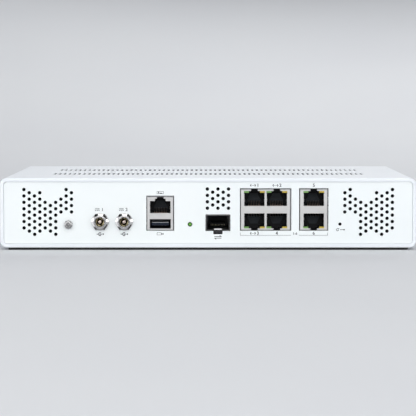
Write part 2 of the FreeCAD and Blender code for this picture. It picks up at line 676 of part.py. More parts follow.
def coin_cell_holder():
    cup = cyl_z(CELL_X, CELL_Y, 11.6, BOARD_TOP, CELL_Z + 3.6)
    inside = cyl_z(CELL_X, CELL_Y, 10.15, CELL_Z, CELL_Z + 10)
    mouth = box(CELL_X - 5, CELL_X + 5, CELL_Y - 13, CELL_Y - 4, CELL_Z, CELL_Z + 10)
    return cut(cup, [inside, mouth])


def coin_cell():
    return round_edges(cyl_z(CELL_X, CELL_Y, 10.0, CELL_Z, CELL_Z + 3.2), 0.5, at_z(CELL_Z + 3.2))


# ================================================================== copper port stacks
def port_mouth(x, upper, y0, y1, width, light_gap, ledge, notch_top):
    """Opening of one port in an XZ view: the plug's space, the light level and the latch notch."""
    floor = JACK_MID + PORT_FLOOR
    top = floor + PORT_HEIGHT
    shapes = [box(x - width / 2, x + width / 2, y0, y1, floor, top - ledge),
              box(x - light_gap / 2, x + light_gap / 2, y0, y1, top - ledge - 0.5, top + LIGHT_HEIGHT),
              box(x - LATCH_NOTCH / 2, x + LATCH_NOTCH / 2, y0, y1, top, notch_top)]
    mouth = fuse(shapes)
    return mouth if upper else mirror_z(mouth, JACK_MID)


def spring_finger(y0, bulge):
    """One spring finger in its own frame: fixed at its far end and bulging outwards near the mouth."""
    points = [(y0, 0.0), (y0 + 0.16 * FINGER_LENGTH, bulge), (y0 + FINGER_LENGTH, 0.0),
              (y0 + FINGER_LENGTH, -SHEET), (y0, -SHEET)]
    return polygon_x(points, -FINGER_WIDTH / 2, FINGER_WIDTH / 2)


def finger_rows(cx, z0, z1, half, y0, notches=()):
    """Spring fingers on the top and both sides of a shield; the top row leaves the latch notches free."""
    cz, half_z = (z0 + z1) / 2, (z1 - z0) / 2
    fingers = []
    rows = ((0, half_z, half, TOP_FINGER_BULGE), (90, half, half_z, RIGHT_FINGER_BULGE),
            (270, half, half_z, LEFT_FINGER_BULGE))
    for turn, reach, span, bulge in rows:
        flat = spring_finger(y0, bulge)
        count = round(2 * (span - FINGER_MARGIN) / FINGER_PITCH)
        pitch = 2 * (span - FINGER_MARGIN) / count
        for i in range(count):
            along = (i - (count - 1) / 2) * pitch
            if turn == 0 and any(abs(cx + along - x) < (LATCH_NOTCH + FINGER_WIDTH) / 2 for x in notches):
                continue
            one = placed(flat, along, 0, reach)
            one.rotate(Vector(0, 0, 0), Vector(0, 1, 0), turn)
            fingers.append(placed(one, cx, 0, cz))
    return fingers


def side_spring(x, z, inward, y0):
    """Grounding spring of the shield that leans into a port from its side."""
    points = [(0, 0), (0.55 * inward, 1.2), (0, 4.5)]
    wire = Part.makePolygon([Vector(x + a, y0 + b, z - 0.8) for a, b in points + points[:1]])
    return Part.Face(wire).extrude(Vector(0, 0, 1.6))


def jack_ports(centre, columns):
    """(x, is upper) of each port in a stack."""
    offset = -(columns - 1) / 2
    return [(centre + (offset + i) * PORT_PITCH, upper) for i in range(columns) for upper in (True, False)]


def jack_shield(centre, half, columns):
    y0, y1 = JACK_FRONT, JACK_FRONT + JACK_DEPTH
    skin = box(centre - half, centre + half, y0, y1, JACK_Z0, JACK_Z1)
    skin = round_edges(skin, SHIELD_ROUND, at_y(y0))
    inner = half - SHEET
    hollow = box(centre - inner, centre + inner, y0 + SHEET, y1 - SHEET, JACK_Z0 - 1, JACK_Z1 - SHEET)
    light_gap = PORT_WIDTH + 2 * LIGHT_OVERHANG
    mouths = [port_mouth(x, up, y0 - 1, y0 + 1, PORT_WIDTH, light_gap, 0.0, JACK_Z1 + 1)
              for x, up in jack_ports(centre, columns)]
    skin = cut(skin, [hollow] + mouths)
    mid_port = JACK_MID + PORT_FLOOR + 0.42 * PORT_HEIGHT
    springs = []
    for x, up in jack_ports(centre, columns):
        z = mid_port if up else 2 * JACK_MID - mid_port
        springs += [side_spring(x - PORT_WIDTH / 2 - 0.05, z, 1, y0 + 0.1),
                    side_spring(x + PORT_WIDTH / 2 + 0.05, z, -1, y0 + 0.1)]
    notches = [x for x, up in jack_ports(centre, columns) if up]
    fingers = finger_rows(centre, JACK_Z0, JACK_Z1, half, y0 + SHIELD_ROUND, notches)
    return fuse([skin] + springs + fingers)


def light_places(x, upper):
    """Middle (x, z) of the left and the right indicator of a port."""
    z = JACK_MID + PORT_FLOOR + PORT_HEIGHT + LIGHT_HEIGHT / 2
    z = z if upper else 2 * JACK_MID - z
    reach = (PORT_WIDTH - LIGHT_WIDTH) / 2 + LIGHT_OVERHANG
    return (x - reach, z), (x + reach, z)


def light_bar(x, z, length=20.0):
    h, v = LIGHT_WIDTH / 2, LIGHT_HEIGHT / 2
    return box(x - h, x + h, JACK_FRONT + 0.05, JACK_FRONT + length, z - v, z + v)


def jack_housing(centre, half, columns):
    gap = 0.02
    y0, y1 = JACK_FRONT + SHEET + gap, JACK_FRONT + JACK_DEPTH - SHEET - gap
    inner = half - SHEET - gap
    body = box(centre - inner, centre + inner, y0, y1, JACK_Z0, JACK_Z1 - SHEET - gap)
    tools = []
    for x, up in jack_ports(centre, columns):
        tools.append(port_mouth(x, up, y0 - 1, y0 + PORT_DEPTH, PORT_WIDTH - 0.5, LIGHT_GAP, LIGHT_LEDGE,
                                JACK_Z1 - SHEET))
        tools += [light_bar(lx, lz, 20.05) for lx, lz in light_places(x, up)]
        floor = JACK_MID + PORT_FLOOR
        pocket_z = floor + 0.42 * PORT_HEIGHT - 1.0
        pocket_half = PORT_WIDTH / 2 + 0.1
        pocket = box(x - pocket_half, x + pocket_half, y0 - 1, y0 + 5.5, pocket_z, pocket_z + 2.0)
        tools.append(pocket if up else mirror_z(pocket, JACK_MID))
    return cut(body, tools)


def contact_wires(x, floor, y0, direction):
    """Eight spring wires of one port, rising from its floor to the back; direction is 1 up or -1 down."""
    t = 0.3
    path = [(2.6, 0.0), (4.2, 0.0), (11.6, 2.3), (11.6, 2.3 + t), (4.1, t), (2.6, t)]
    points = [(y0 + y, floor + direction * z) for y, z in path]
    wires = []
    for i in range(8):
        wx = x + (i - 3.5) * CONTACT_PITCH
        wires.append(polygon_x(points, wx - 0.22, wx + 0.22))
    return wires


def port_contacts():
    wires = []
    y0 = JACK_FRONT
    for x, up in jack_ports(QUAD_X, 2) + jack_ports(DUAL_X, 1):
        side = 1 if up else -1
        wires += contact_wires(x, JACK_MID + side * PORT_FLOOR, y0, side)
    wires += contact_wires(COMBO_X, CONSOLE_Z0, y0, 1)
    for i in range(4):
        wx = COMBO_X + (i - 1.5) * 2.3
        wires.append(box(wx - 0.5, wx + 0.5, y0 + 2.0, y0 + 9.5, USB_TONGUE_Z - 0.2, USB_TONGUE_Z))
    return wires


def port_lights(side):
    """Indicators of all six stacked ports: side 0 is the left one and side 1 the right one."""
    ports = jack_ports(QUAD_X, 2) + jack_ports(DUAL_X, 1)
    return [light_bar(*light_places(x, up)[side]) for x, up in ports]


# ================================================================== console port over USB port
def console_mouth(y0, y1, width):
    shapes = [box(COMBO_X - width / 2, COMBO_X + width / 2, y0, y1, CONSOLE_Z0, CONSOLE_Z1)]
    for step, top in CONSOLE_STEPS:
        shapes.append(box(COMBO_X - step / 2, COMBO_X + step / 2, y0, y1, CONSOLE_Z1 - 0.5, top))
    return fuse(shapes)


def usb_mouth(y0, y1, width=USB_WIDTH):
    return box(COMBO_X - width / 2, COMBO_X + width / 2, y0, y1, USB_Z0, USB_Z1)


def usb_wire(y, x_half, z0, z1):
    return rounded_wire(COMBO_X - x_half, COMBO_X + x_half, z0, z1, 0.4, lambda a, b: Vector(a, y, b))


def usb_shell():
    """The USB port's own metal tube, with a flared upper lip, and the plate on its tongue."""
    y0, y1 = JACK_FRONT + 0.05, JACK_FRONT + USB_DEPTH - 0.5
    half, z0, z1 = USB_WIDTH / 2 - 0.16, USB_Z0 + 0.05, USB_Z1 - 0.05
    t = USB_SHELL_T
    tube = Part.Face(usb_wire(y0, half, z0, z1)).extrude(Vector(0, y1 - y0, 0))
    bore = Part.Face(usb_wire(y0 - 1, half - t, z0 + t, z1 - USB_FLARE)).extrude(Vector(0, y1 - y0 + 2, 0))
    flare = Part.makeLoft([usb_wire(y0 - 0.01, half - 0.08, z0 + 0.08, z1 - 0.08),
                           usb_wire(y0 + 1.4, half - t, z0 + t, z1 - USB_FLARE)], True, True)
    plate_z = USB_TONGUE_Z + USB_TONGUE_T
    plate = box(COMBO_X - USB_TONGUE_HALF + 0.1, COMBO_X + USB_TONGUE_HALF - 0.1, USB_TONGUE_Y, y1,
                plate_z, plate_z + USB_PLATE_T)
    plate = plate.makeChamfer(0.15, [e for e in plate.Edges if at_y(USB_TONGUE_Y)(e)])
    return [cut(tube, [bore, flare]), plate]


def console_usb_shield():
    y0, y1 = JACK_FRONT, JACK_FRONT + COMBO_DEPTH
    x0, x1 = COMBO_X - COMBO_HALF, COMBO_X + COMBO_HALF
    skin = round_edges(box(x0, x1, y0, y1, JACK_Z0, COMBO_Z1), SHIELD_ROUND, at_y(y0))
    hollow = box(x0 + SHEET, x1 - SHEET, y0 + SHEET, y1 - SHEET, JACK_Z0 - 1, COMBO_Z1 - SHEET)
    skin = cut(skin, [hollow, console_mouth(y0 - 1, y0 + 1, PORT_WIDTH + 0.2), usb_mouth(y0 - 1, y0 + 1)])
    reach = PORT_WIDTH / 2 + 0.15
    springs = [side_spring(COMBO_X + side * reach, CONSOLE_SPRING_Z, -side, y0 + 0.1) for side in (-1, 1)]
    fingers = finger_rows(COMBO_X, JACK_Z0, COMBO_Z1, COMBO_HALF, y0 + SHIELD_ROUND)
    return fuse([skin] + springs + fingers)


def console_usb_housing():
    gap = 0.02
    y0, y1 = JACK_FRONT + SHEET + gap, JACK_FRONT + COMBO_DEPTH - SHEET - gap
    body = box(COMBO_X - COMBO_HALF + SHEET + gap, COMBO_X + COMBO_HALF - SHEET - gap, y0, y1, JACK_Z0,
               COMBO_Z1 - SHEET - gap)
    z = CONSOLE_SPRING_Z
    pocket_half = PORT_WIDTH / 2 + 0.2
    pocket = box(COMBO_X - pocket_half, COMBO_X + pocket_half, y0 - 1, y0 + 5.5, z - 1, z + 1)
    body = cut(body, [console_mouth(y0 - 1, y0 + PORT_DEPTH, PORT_WIDTH - 0.4), pocket,
                      usb_mouth(y0 - 1, y0 + USB_DEPTH, USB_WIDTH - 0.3)])
    tongue = box(COMBO_X - USB_TONGUE_HALF, COMBO_X + USB_TONGUE_HALF, USB_TONGUE_Y - 0.1,
                 y0 + USB_DEPTH + 0.5, USB_TONGUE_Z, USB_TONGUE_Z + USB_TONGUE_T)
    tongue = tongue.makeChamfer(0.25, [e for e in tongue.Edges if at_y(USB_TONGUE_Y - 0.1)(e)])
    return fuse([body, tongue])


# ================================================================== fibre module bay
def sfp_cage():
    x0, x1 = SFP_X - SFP_WIDTH / 2, SFP_X + SFP_WIDTH / 2
    y0, y1 = SFP_FRONT, SFP_FRONT + SFP_DEPTH
    skin = box(x0, x1, y0, y1, SFP_Z0, SFP_Z1)
    hollow = box(x0 + SHEET, x1 - SHEET, y0 - 1, y1 - SHEET, SFP_Z0 + SHEET, SFP_Z1 - SHEET)
    half = LEAF_HALF + 0.25
    floor_slot = box(SFP_X - half, SFP_X + half, y0 - 1, LEAF_ROOT_Y + 0.3, SFP_Z0 - 1, SFP_Z0 + 1)
    connector_gap = box(SFP_X - 6.2, SFP_X + 6.2, y1 - 14, y1 + 1, SFP_Z0 - 1, SFP_Z0 + 0.5)
    slit = box(SFP_X - 0.3, SFP_X + 0.3, y0 - 1, y0 + 6, SFP_Z1 - 1, SFP_Z1 + 1)
    vents = [cyl_z(SFP_X + side * 3.5, y0 + 14 + i * 7, 1.2, SFP_Z1 - 1, SFP_Z1 + 1)
             for side in (-1, 1) for i in range(4)]
    return cut(skin, [hollow, floor_slot, connector_gap, slit] + vents)


def sfp_spring_collar():
    """Ring of grounding fingers round the mouth of the cage, open below for the latch."""
    gap = 0.03
    half_x, mid_z = SFP_WIDTH / 2 + gap, (SFP_Z0 + SFP_Z1) / 2
    half_z = (SFP_Z1 - SFP_Z0) / 2 + gap
    y0 = SFP_FRONT + 0.2
    t = 0.15
    band = box(SFP_X - half_x - t, SFP_X + half_x + t, y0, y0 + 7, mid_z - half_z - t, mid_z + half_z + t)
    inside = box(SFP_X - half_x, SFP_X + half_x, y0 - 1, y0 + 8, mid_z - half_z, mid_z + half_z)
    latch_gap = box(SFP_X - 3.4, SFP_X + 3.4, y0 - 1, y0 + 8, mid_z - half_z - 1, mid_z)
    board_gap = box(SFP_X - 9, SFP_X + 9, BOARD_Y0 - 0.2, y0 + 8, mid_z - half_z - 1, SFP_Z0 + 0.01)
    bulge = SFP_CUTOUT[0] - half_x - t - 0.05
    finger_half_z = half_z + t
    fingers = []
    rows = ((0, 6, finger_half_z, half_x), (90, 4, half_x + t, finger_half_z),
            (270, 4, half_x + t, finger_half_z))
    for turn, count, reach, span in rows:
        pitch = 2 * span / count
        lift = bulge if turn else min(bulge, SFP_CUTOUT[2] - mid_z - finger_half_z - 0.03)
        outline = [(y0 + 0.1, 0.0), (y0 + 0.9, lift), (y0 + 6.5, 0.0), (y0 + 6.5, -t * 0.9),
                   (y0 + 0.1, -t * 0.9)]
        finger = polygon_x(outline, -0.36 * pitch, 0.36 * pitch)
        for i in range(count):
            one = placed(finger, (i - (count - 1) / 2) * pitch, 0, reach)
            one.rotate(Vector(0, 0, 0), Vector(0, 1, 0), turn)
            fingers.append(placed(one, SFP_X, 0, mid_z))
    band = cut(band, [inside, latch_gap, board_gap])
    return fuse([band] + fingers)


def sfp_latch():
    """Leaf spring in the floor of the cage: a steep climb from the mouth to a crest, with a low lip."""
    z = SFP_Z0 + LEAF_T / 2
    t = LEAF_T
    crest_y, crest_z = PANEL_Y + 0.7, SFP_Z0 + 1.1
    mouth_y, mouth_z = PANEL_Y - 0.1, SFP_Z0 + 0.4
    lip_y = PANEL_Y + 0.75
    outline = [(LEAF_ROOT_Y, z + t / 2), (crest_y + 1.6, crest_z), (crest_y, crest_z), (mouth_y, mouth_z),
               (lip_y, LEAF_LIP_Z), (lip_y + t, LEAF_LIP_Z), (mouth_y + t + 0.15, mouth_z - 0.05),
               (crest_y + 0.15, crest_z - t), (crest_y + 1.5, crest_z - t), (LEAF_ROOT_Y, z - t / 2)]
    leaf = polygon_x(outline, SFP_X - LEAF_HALF, SFP_X + LEAF_HALF)
    root_end = Vector(SFP_X - LEAF_HALF, LEAF_ROOT_Y, z)
    root = Part.makeCylinder(t / 2, 2 * LEAF_HALF, root_end, Vector(1, 0, 0))
    window = box(SFP_X - 1.4, SFP_X + 1.4, crest_y + 2.2, crest_y + 4.6, SFP_Z0 - 1, SFP_Z0 + 3)
    return fuse([leaf, root]).cut(window)


def sfp_connector():
    y1 = SFP_FRONT + SFP_DEPTH - SHEET - 0.4
    z0 = BOARD_TOP
    body = box(SFP_X - 6.0, SFP_X + 6.0, y1 - SFP_CONNECTOR_DEPTH, y1, z0, z0 + 5.4)
    slot = box(SFP_X - 4.7, SFP_X + 4.7, y1 - SFP_CONNECTOR_DEPTH - 1, y1 - 3, z0 + 2.2, z0 + 3.7)
    return body.cut(slot)


def sfp_contacts():
    """Gold leads: one row on the board in front of the connector, and one on the roof of its slot."""
    y0 = SFP_FRONT + SFP_DEPTH - SHEET - 0.4 - SFP_CONNECTOR_DEPTH
    leads = []
    for i in range(10):
        x = SFP_X + (i - 4.5) * SFP_CONTACT_PITCH
        foot = polygon_x([(y0, BOARD_TOP + 1.3), (y0 - 0.5, BOARD_TOP + 1.2), (y0 - 1.0, BOARD_TOP + 0.25),
                          (y0 - 2.2, BOARD_TOP + 0.2), (y0 - 2.2, BOARD_TOP), (y0 - 0.8, BOARD_TOP),
                          (y0 - 0.4, BOARD_TOP + 0.95), (y0, BOARD_TOP + 1.05)], x - 0.3, x + 0.3)
        leads.append(foot)
        leads.append(box(x - 0.25, x + 0.25, y0 + 3.0, y0 + 7.5, BOARD_TOP + 3.5, BOARD_TOP + 3.7))
    return leads


# ================================================================== DC inlets
def dc_barrel(x):
    """Threaded metal sleeve with a flange that bears on the back of the panel."""
    y0, y1 = PANEL_Y - BARREL_PROUD, PANEL_BACK + FLANGE_T + 2.0
    sleeve = cyl_y(x, DC_Z, BARREL_R, y0, y1)
    sleeve = sleeve.makeFillet(0.3, [e for e in sleeve.Edges if at_y(y0)(e)])
    flange = cyl_y(x, DC_Z, 4.9, PANEL_BACK, PANEL_BACK + FLANGE_T)
    groove = 0.3
    rings = []
    y = y0 + 0.45
    while y < PANEL_BACK - 0.3:
        points = [(BARREL_R - groove, y), (BARREL_R + 0.2, y - 0.3), (BARREL_R + 0.2, y + 0.3)]
        wire = Part.makePolygon([Vector(x + r, ring_y, DC_Z) for r, ring_y in points + points[:1]])
        rings.append(Part.Face(wire).revolve(Vector(x, 0, DC_Z), Vector(0, 1, 0), 360))
        y += THREAD_PITCH
    return cut(fuse([sleeve, flange]), [cyl_y(x, DC_Z, BARREL_BORE, y0 - 1, y1 + 1)] + rings)


def dc_housing(x):
    """Black insulating body on the board, with a nose that lines the metal sleeve."""
    y0, y1 = PANEL_BACK + FLANGE_T, PANEL_BACK + FLANGE_T + 13.5
    block = box(x - 5.0, x + 5.0, y0 + 0.02, y1, BOARD_TOP, DC_Z + 5.3)
    block = round_edges(block, 0.4, lambda e: e.BoundBox.XLength < 1e-6 and e.BoundBox.ZLength < 1e-6
                        and e.BoundBox.ZMin > DC_Z)
    sleeve_seat = cyl_y(x, DC_Z, BARREL_R + 0.03, y0 - 1, y0 + 2.1)
    nose = cyl_y(x, DC_Z, BARREL_BORE - 0.02, PANEL_Y - BARREL_PROUD + 0.4, y0 + 3)
    socket = cyl_y(x, DC_Z, SOCKET_R, PANEL_Y - BARREL_PROUD - 1, y0 + 7.5)
    return fuse([block.cut(sleeve_seat), nose]).cut(socket)


def dc_pin(x):
    y0, y1 = PANEL_Y - BARREL_PROUD + 1.2, PANEL_BACK + FLANGE_T + 7.5
    pin = cyl_y(x, DC_Z, DC_PIN_R, y0, y1)
    pin = round_edges(pin, 0.6, at_y(y0))
    slit = box(x - 0.2, x + 0.2, y0 - 1, y0 + 4, DC_Z - 2, DC_Z + 2)
    slit.rotate(Vector(x, y0, DC_Z), Vector(0, 1, 0), 35)
    return pin.cut(slit)


def dc_spring(x):
    """Outer contact: a sleeve inside the socket, split into four springy quarters."""
    y0, y1 = PANEL_Y - BARREL_PROUD + 1.6, PANEL_BACK + FLANGE_T + 7.4
    sleeve = cyl_y(x, DC_Z, SOCKET_R - 0.02, y0, y1)
    sleeve = sleeve.cut(cyl_y(x, DC_Z, SOCKET_R - 0.02 - SLEEVE_T, y0 - 1, y1 + 1))
    slits = []
    for turn in (20, 110):
        slit = box(x - 0.3, x + 0.3, y0 - 1, y1 - 2.5, DC_Z - 4, DC_Z + 4)
        slit.rotate(Vector(x, y0, DC_Z), Vector(0, 1, 0), turn)
        slits.append(slit)
    return cut(sleeve, slits)


def dc_nut(x):
    y0, y1 = PANEL_Y - WASHER_T - NUT_T, PANEL_Y - WASHER_T
    blank = hexagon_y(x, DC_Z, NUT_FLATS, y0, y1)
    start_r = BARREL_R + NUT_RING
    back_r = start_r + NUT_T / math.tan(math.radians(NUT_CONE))
    cone = Part.makeCone(start_r, back_r, NUT_T, Vector(x, y0, DC_Z), Vector(0, 1, 0))
    nut = blank.common(cone)
    return nut.cut(cyl_y(x, DC_Z, BARREL_R + 0.04, y0 - 1, y1 + 1))


def dc_washers():
    rings = []
    for x in DC_X:
        ring = cyl_y(x, DC_Z, WASHER_R, PANEL_Y - WASHER_T, PANEL_Y)
        ring = ring.makeChamfer(0.12, [e for e in ring.Edges if at_y(PANEL_Y - WASHER_T)(e)])
        rings.append(ring.cut(cyl_y(x, DC_Z, BARREL_R + 0.1, PANEL_Y - 2, PANEL_Y + 1)))
    return rings


# ================================================================== ground terminal, light, reset button
def ground_screw():
    seat = PANEL_Y - GROUND_PAD_T - GROUND_WASHER_T
    return placed(pan_screw(2.65, 2.0, SCREW_R, 7.0), GROUND_X, seat, GROUND_Z, Vector(1, 0, 0), 90)


def ground_washer():
    """External-tooth lock washer."""
    y1 = PANEL_Y - GROUND_PAD_T
    ring = cyl_y(GROUND_X, GROUND_Z, 2.5, y1 - GROUND_WASHER_T, y1)
    teeth = []
    for i in range(10):
        tooth = box(GROUND_X - 0.32, GROUND_X + 0.32, y1 - GROUND_WASHER_T, y1,
                    GROUND_Z + 2.2, GROUND_Z + 2.85)
        tooth.rotate(Vector(GROUND_X, 0, GROUND_Z), Vector(0, 1, 0), 36 * i)
        teeth.append(tooth)
    return fuse([ring] + teeth).cut(cyl_y(GROUND_X, GROUND_Z, SCREW_R + 0.15, y1 - 2, y1 + 1))


def ground_nut():
    nut = hexagon_y(GROUND_X, GROUND_Z, 5.5, PANEL_BACK, PANEL_BACK + 2.4)
    return nut.cut(cyl_y(GROUND_X, GROUND_Z, SCREW_R + 0.05, PANEL_BACK - 1, PANEL_BACK + 4))


def power_led():
    """Round light with a domed end that looks through the panel."""
    tip = PANEL_Y - 1.0
    dome_y = tip + LED_R
    barrel = cyl_y(LED_X, LED_Z, LED_R, dome_y, PANEL_BACK + 1.4)
    dome = Part.makeSphere(LED_R, Vector(LED_X, dome_y, LED_Z))
    collar = cyl_y(LED_X, LED_Z, 1.9, PANEL_BACK + 0.4, PANEL_BACK + 1.4)
    return fuse([barrel, dome, collar])


def power_led_holder():
    y0 = PANEL_BACK + 1.42
    body = box(LED_X - 2.4, LED_X + 2.4, y0, y0 + 5.0, BOARD_TOP, LED_Z + 2.3)
    return body.makeChamfer(0.4, [e for e in body.Edges if at_z(LED_Z + 2.3)(e)])


def reset_button():
    """Stem of the push switch, reached with a pin through the panel."""
    stem = cyl_y(RESET_X, RESET_Z, RESET_STEM_R, RESET_TIP_Y, RESET_BODY_Y + 2.4)
    return round_edges(stem, 0.25, at_y(RESET_TIP_Y))


def reset_switch():
    y0, y1 = RESET_BODY_Y, RESET_BODY_Y + 4.6
    body = chip(RESET_X, (y0 + y1) / 2, 6.4, y1 - y0, RESET_Z + 2.6 - BOARD_TOP, edge=0.3)
    return body.cut(cyl_y(RESET_X, RESET_Z, RESET_STEM_R + 0.06, y0 - 1, y0 + 2.4 + RESET_TRAVEL + 0.2))


# ================================================================== export
def all_parts():
    tube = housing_tube()
    parts = {
        "top_cover": top_cover(tube),
        "base_tray": base_tray(tube),
        "io_panel": io_panel(),
        "status_panel": status_panel(),
        "front_foot_strip": foot_strip(FRONT + STRIP_INSET),
        "rear_foot_strip": foot_strip(REAR - STRIP_INSET - STRIP_WIDTH),
        "base_screws": base_screws(),
        "light_guide": light_guide(),
        "main_board": main_board(),
        "board_standoffs": board_standoffs(),
        "board_screws": board_screws(),
        "processor": processor(),
        "thermal_pad": thermal_pad(),
        "heatsink": heatsink(),
        "heatsink_screws": heatsink_screws(),
        "heatsink_nuts": heatsink_nuts(),
        "heatsink_springs": heatsink_springs(),
        "memory_socket": memory_socket(),
        "memory_module": memory_module(),
        "storage_socket": storage_socket(),
        "storage_module": storage_module(),
        "storage_screw": storage_screw(),
        "board_chips": board_chips(),
        "power_inductors": power_inductors(),
        "filter_capacitors": filter_capacitors(),
        "coin_cell_holder": coin_cell_holder(),
        "coin_cell": coin_cell(),
        "quad_jack_shield": jack_shield(QUAD_X, QUAD_HALF, 2),
        "quad_jack_housing": jack_housing(QUAD_X, QUAD_HALF, 2),
        "dual_jack_shield": jack_shield(DUAL_X, DUAL_HALF, 1),
        "dual_jack_housing": jack_housing(DUAL_X, DUAL_HALF, 1),
        "port_contacts": port_contacts(),
        "port_lights_green": port_lights(0),
        "port_lights_amber": port_lights(1),
        "console_usb_shield": console_usb_shield(),
        "console_usb_housing": console_usb_housing(),
        "usb_shell": usb_shell(),
        "sfp_cage": sfp_cage(),
        "sfp_spring_collar": sfp_spring_collar(),
        "sfp_latch": sfp_latch(),
        "sfp_connector": sfp_connector(),
        "sfp_contacts": sfp_contacts(),
        "dc_jack_washers": dc_washers(),
        "ground_screw": ground_screw(),
        "ground_washer": ground_washer(),
        "ground_nut": ground_nut(),
        "power_led": power_led(),
        "power_led_holder": power_led_holder(),
        "reset_button": reset_button(),
        "reset_switch": reset_switch(),
    }
    jack_pieces = (("barrel", dc_barrel), ("housing", dc_housing), ("pin", dc_pin), ("spring", dc_spring),
                   ("nut", dc_nut))
    for number, x in enumerate(DC_X, 1):
        for piece, make in jack_pieces:
            parts[f"dc_jack_{number}_{piece}"] = make(x)
    return parts


def main():
    os.makedirs("parts", exist_ok=True)
    for name, shape in all_parts().items():
        solids = []
        for piece in shape if isinstance(shape, list) else [shape]:
            solids += piece.Solids
        result = solids[0] if len(solids) == 1 else Part.makeCompound(solids)
        if not result.isValid():
            print("not valid:", name)
        print(f"{name}: {len(solids)} solid(s), {sum(s.Volume for s in solids):.1f} mm3")
        result.exportStep(f"parts/{name}.step")


main()
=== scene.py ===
"""Looks of the desktop network gateway: finishes of its CAD nodes, printed marks, contacts, and vent screens
of painted shade.
"""
import json
import math

import bmesh
import bpy
from mathutils import Matrix, Vector


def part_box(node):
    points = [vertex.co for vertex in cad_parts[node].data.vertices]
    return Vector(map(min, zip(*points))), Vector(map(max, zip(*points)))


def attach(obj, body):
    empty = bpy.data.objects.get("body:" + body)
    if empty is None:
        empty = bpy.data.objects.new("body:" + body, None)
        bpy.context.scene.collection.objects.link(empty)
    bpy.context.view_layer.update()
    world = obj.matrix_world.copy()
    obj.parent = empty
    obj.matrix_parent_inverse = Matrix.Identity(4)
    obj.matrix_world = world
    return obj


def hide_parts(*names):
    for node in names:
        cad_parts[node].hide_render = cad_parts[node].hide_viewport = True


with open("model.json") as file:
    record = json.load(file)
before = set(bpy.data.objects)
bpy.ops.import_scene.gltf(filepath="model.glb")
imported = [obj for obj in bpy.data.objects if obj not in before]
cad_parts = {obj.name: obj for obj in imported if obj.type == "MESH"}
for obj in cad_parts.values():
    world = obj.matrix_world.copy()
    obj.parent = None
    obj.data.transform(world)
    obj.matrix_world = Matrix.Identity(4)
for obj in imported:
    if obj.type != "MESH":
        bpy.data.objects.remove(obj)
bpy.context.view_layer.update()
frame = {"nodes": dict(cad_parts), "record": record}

MM = 0.001
CHASSIS = "chassis"
SHIELDS = ("quad_jack_shield", "dual_jack_shield", "console_usb_shield")
ETHERNET_PORTS = range(1, 7)
LINKED_PORTS = 3                                 # the first ports, which have a link sign beside their number
WIRES = 8                                        # in each modular port
WALL = 2.4 * MM                                  # thickness of the cover and the tray
SHIELD_PROUD = 0.3 * MM                          # the shields' faces in front of the port panel

# ------------------------------------------------------------------ places read from the frame
MOUNTS = {m["name"]: Vector(m["pos_m"]) for m in frame["record"]["mounts"]}
COVER_LOW, COVER_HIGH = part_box("top_cover")
TRAY_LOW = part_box("base_tray")[0]
SHIELD_LOW, SHIELD_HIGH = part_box("quad_jack_shield")
DUAL_LOW, DUAL_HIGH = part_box("dual_jack_shield")
FASCIA_LOW, FASCIA_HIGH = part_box("status_panel")
LED_MIDDLE = sum(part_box("power_led"), Vector()) / 2
JACK_FACE = MOUNTS["console_port"].y             # front plane of the shields
PANEL_Y = JACK_FACE + SHIELD_PROUD               # front plane of the port panel


def port_place(number):
    """Middle of a copper port's mouth, and whether the port is in the upper row."""
    place = MOUNTS[f"ethernet_{number}"]
    return place, place.z > (SHIELD_LOW.z + SHIELD_HIGH.z) / 2


# ================================================================== materials
class Graph:
    """A node tree with short forms for the nodes that this script needs. Inputs are values or sockets."""

    def __init__(self, tree):
        self.tree = tree

    def node(self, kind, inputs=None, **settings):
        """Makes a node, and sets or links its inputs by name or number."""
        made = self.tree.nodes.new(kind)
        for key, value in settings.items():
            setattr(made, key, value)
        for key, value in (inputs or {}).items():
            if isinstance(value, bpy.types.NodeSocket):
                self.tree.links.new(value, made.inputs[key])
            else:
                made.inputs[key].default_value = value
        return made

    def math(self, operation, a, b=0.0):
        return self.node("ShaderNodeMath", {0: a, 1: b}, operation=operation).outputs[0]

    def spread(self, value, low, high, start=0.3, end=0.7, ramp="LINEAR"):
        """Maps value from start..end to low..high."""
        inputs = {"Value": value, "From Min": start, "From Max": end, "To Min": low, "To Max": high}
        return self.node("ShaderNodeMapRange", inputs, interpolation_type=ramp).outputs["Result"]


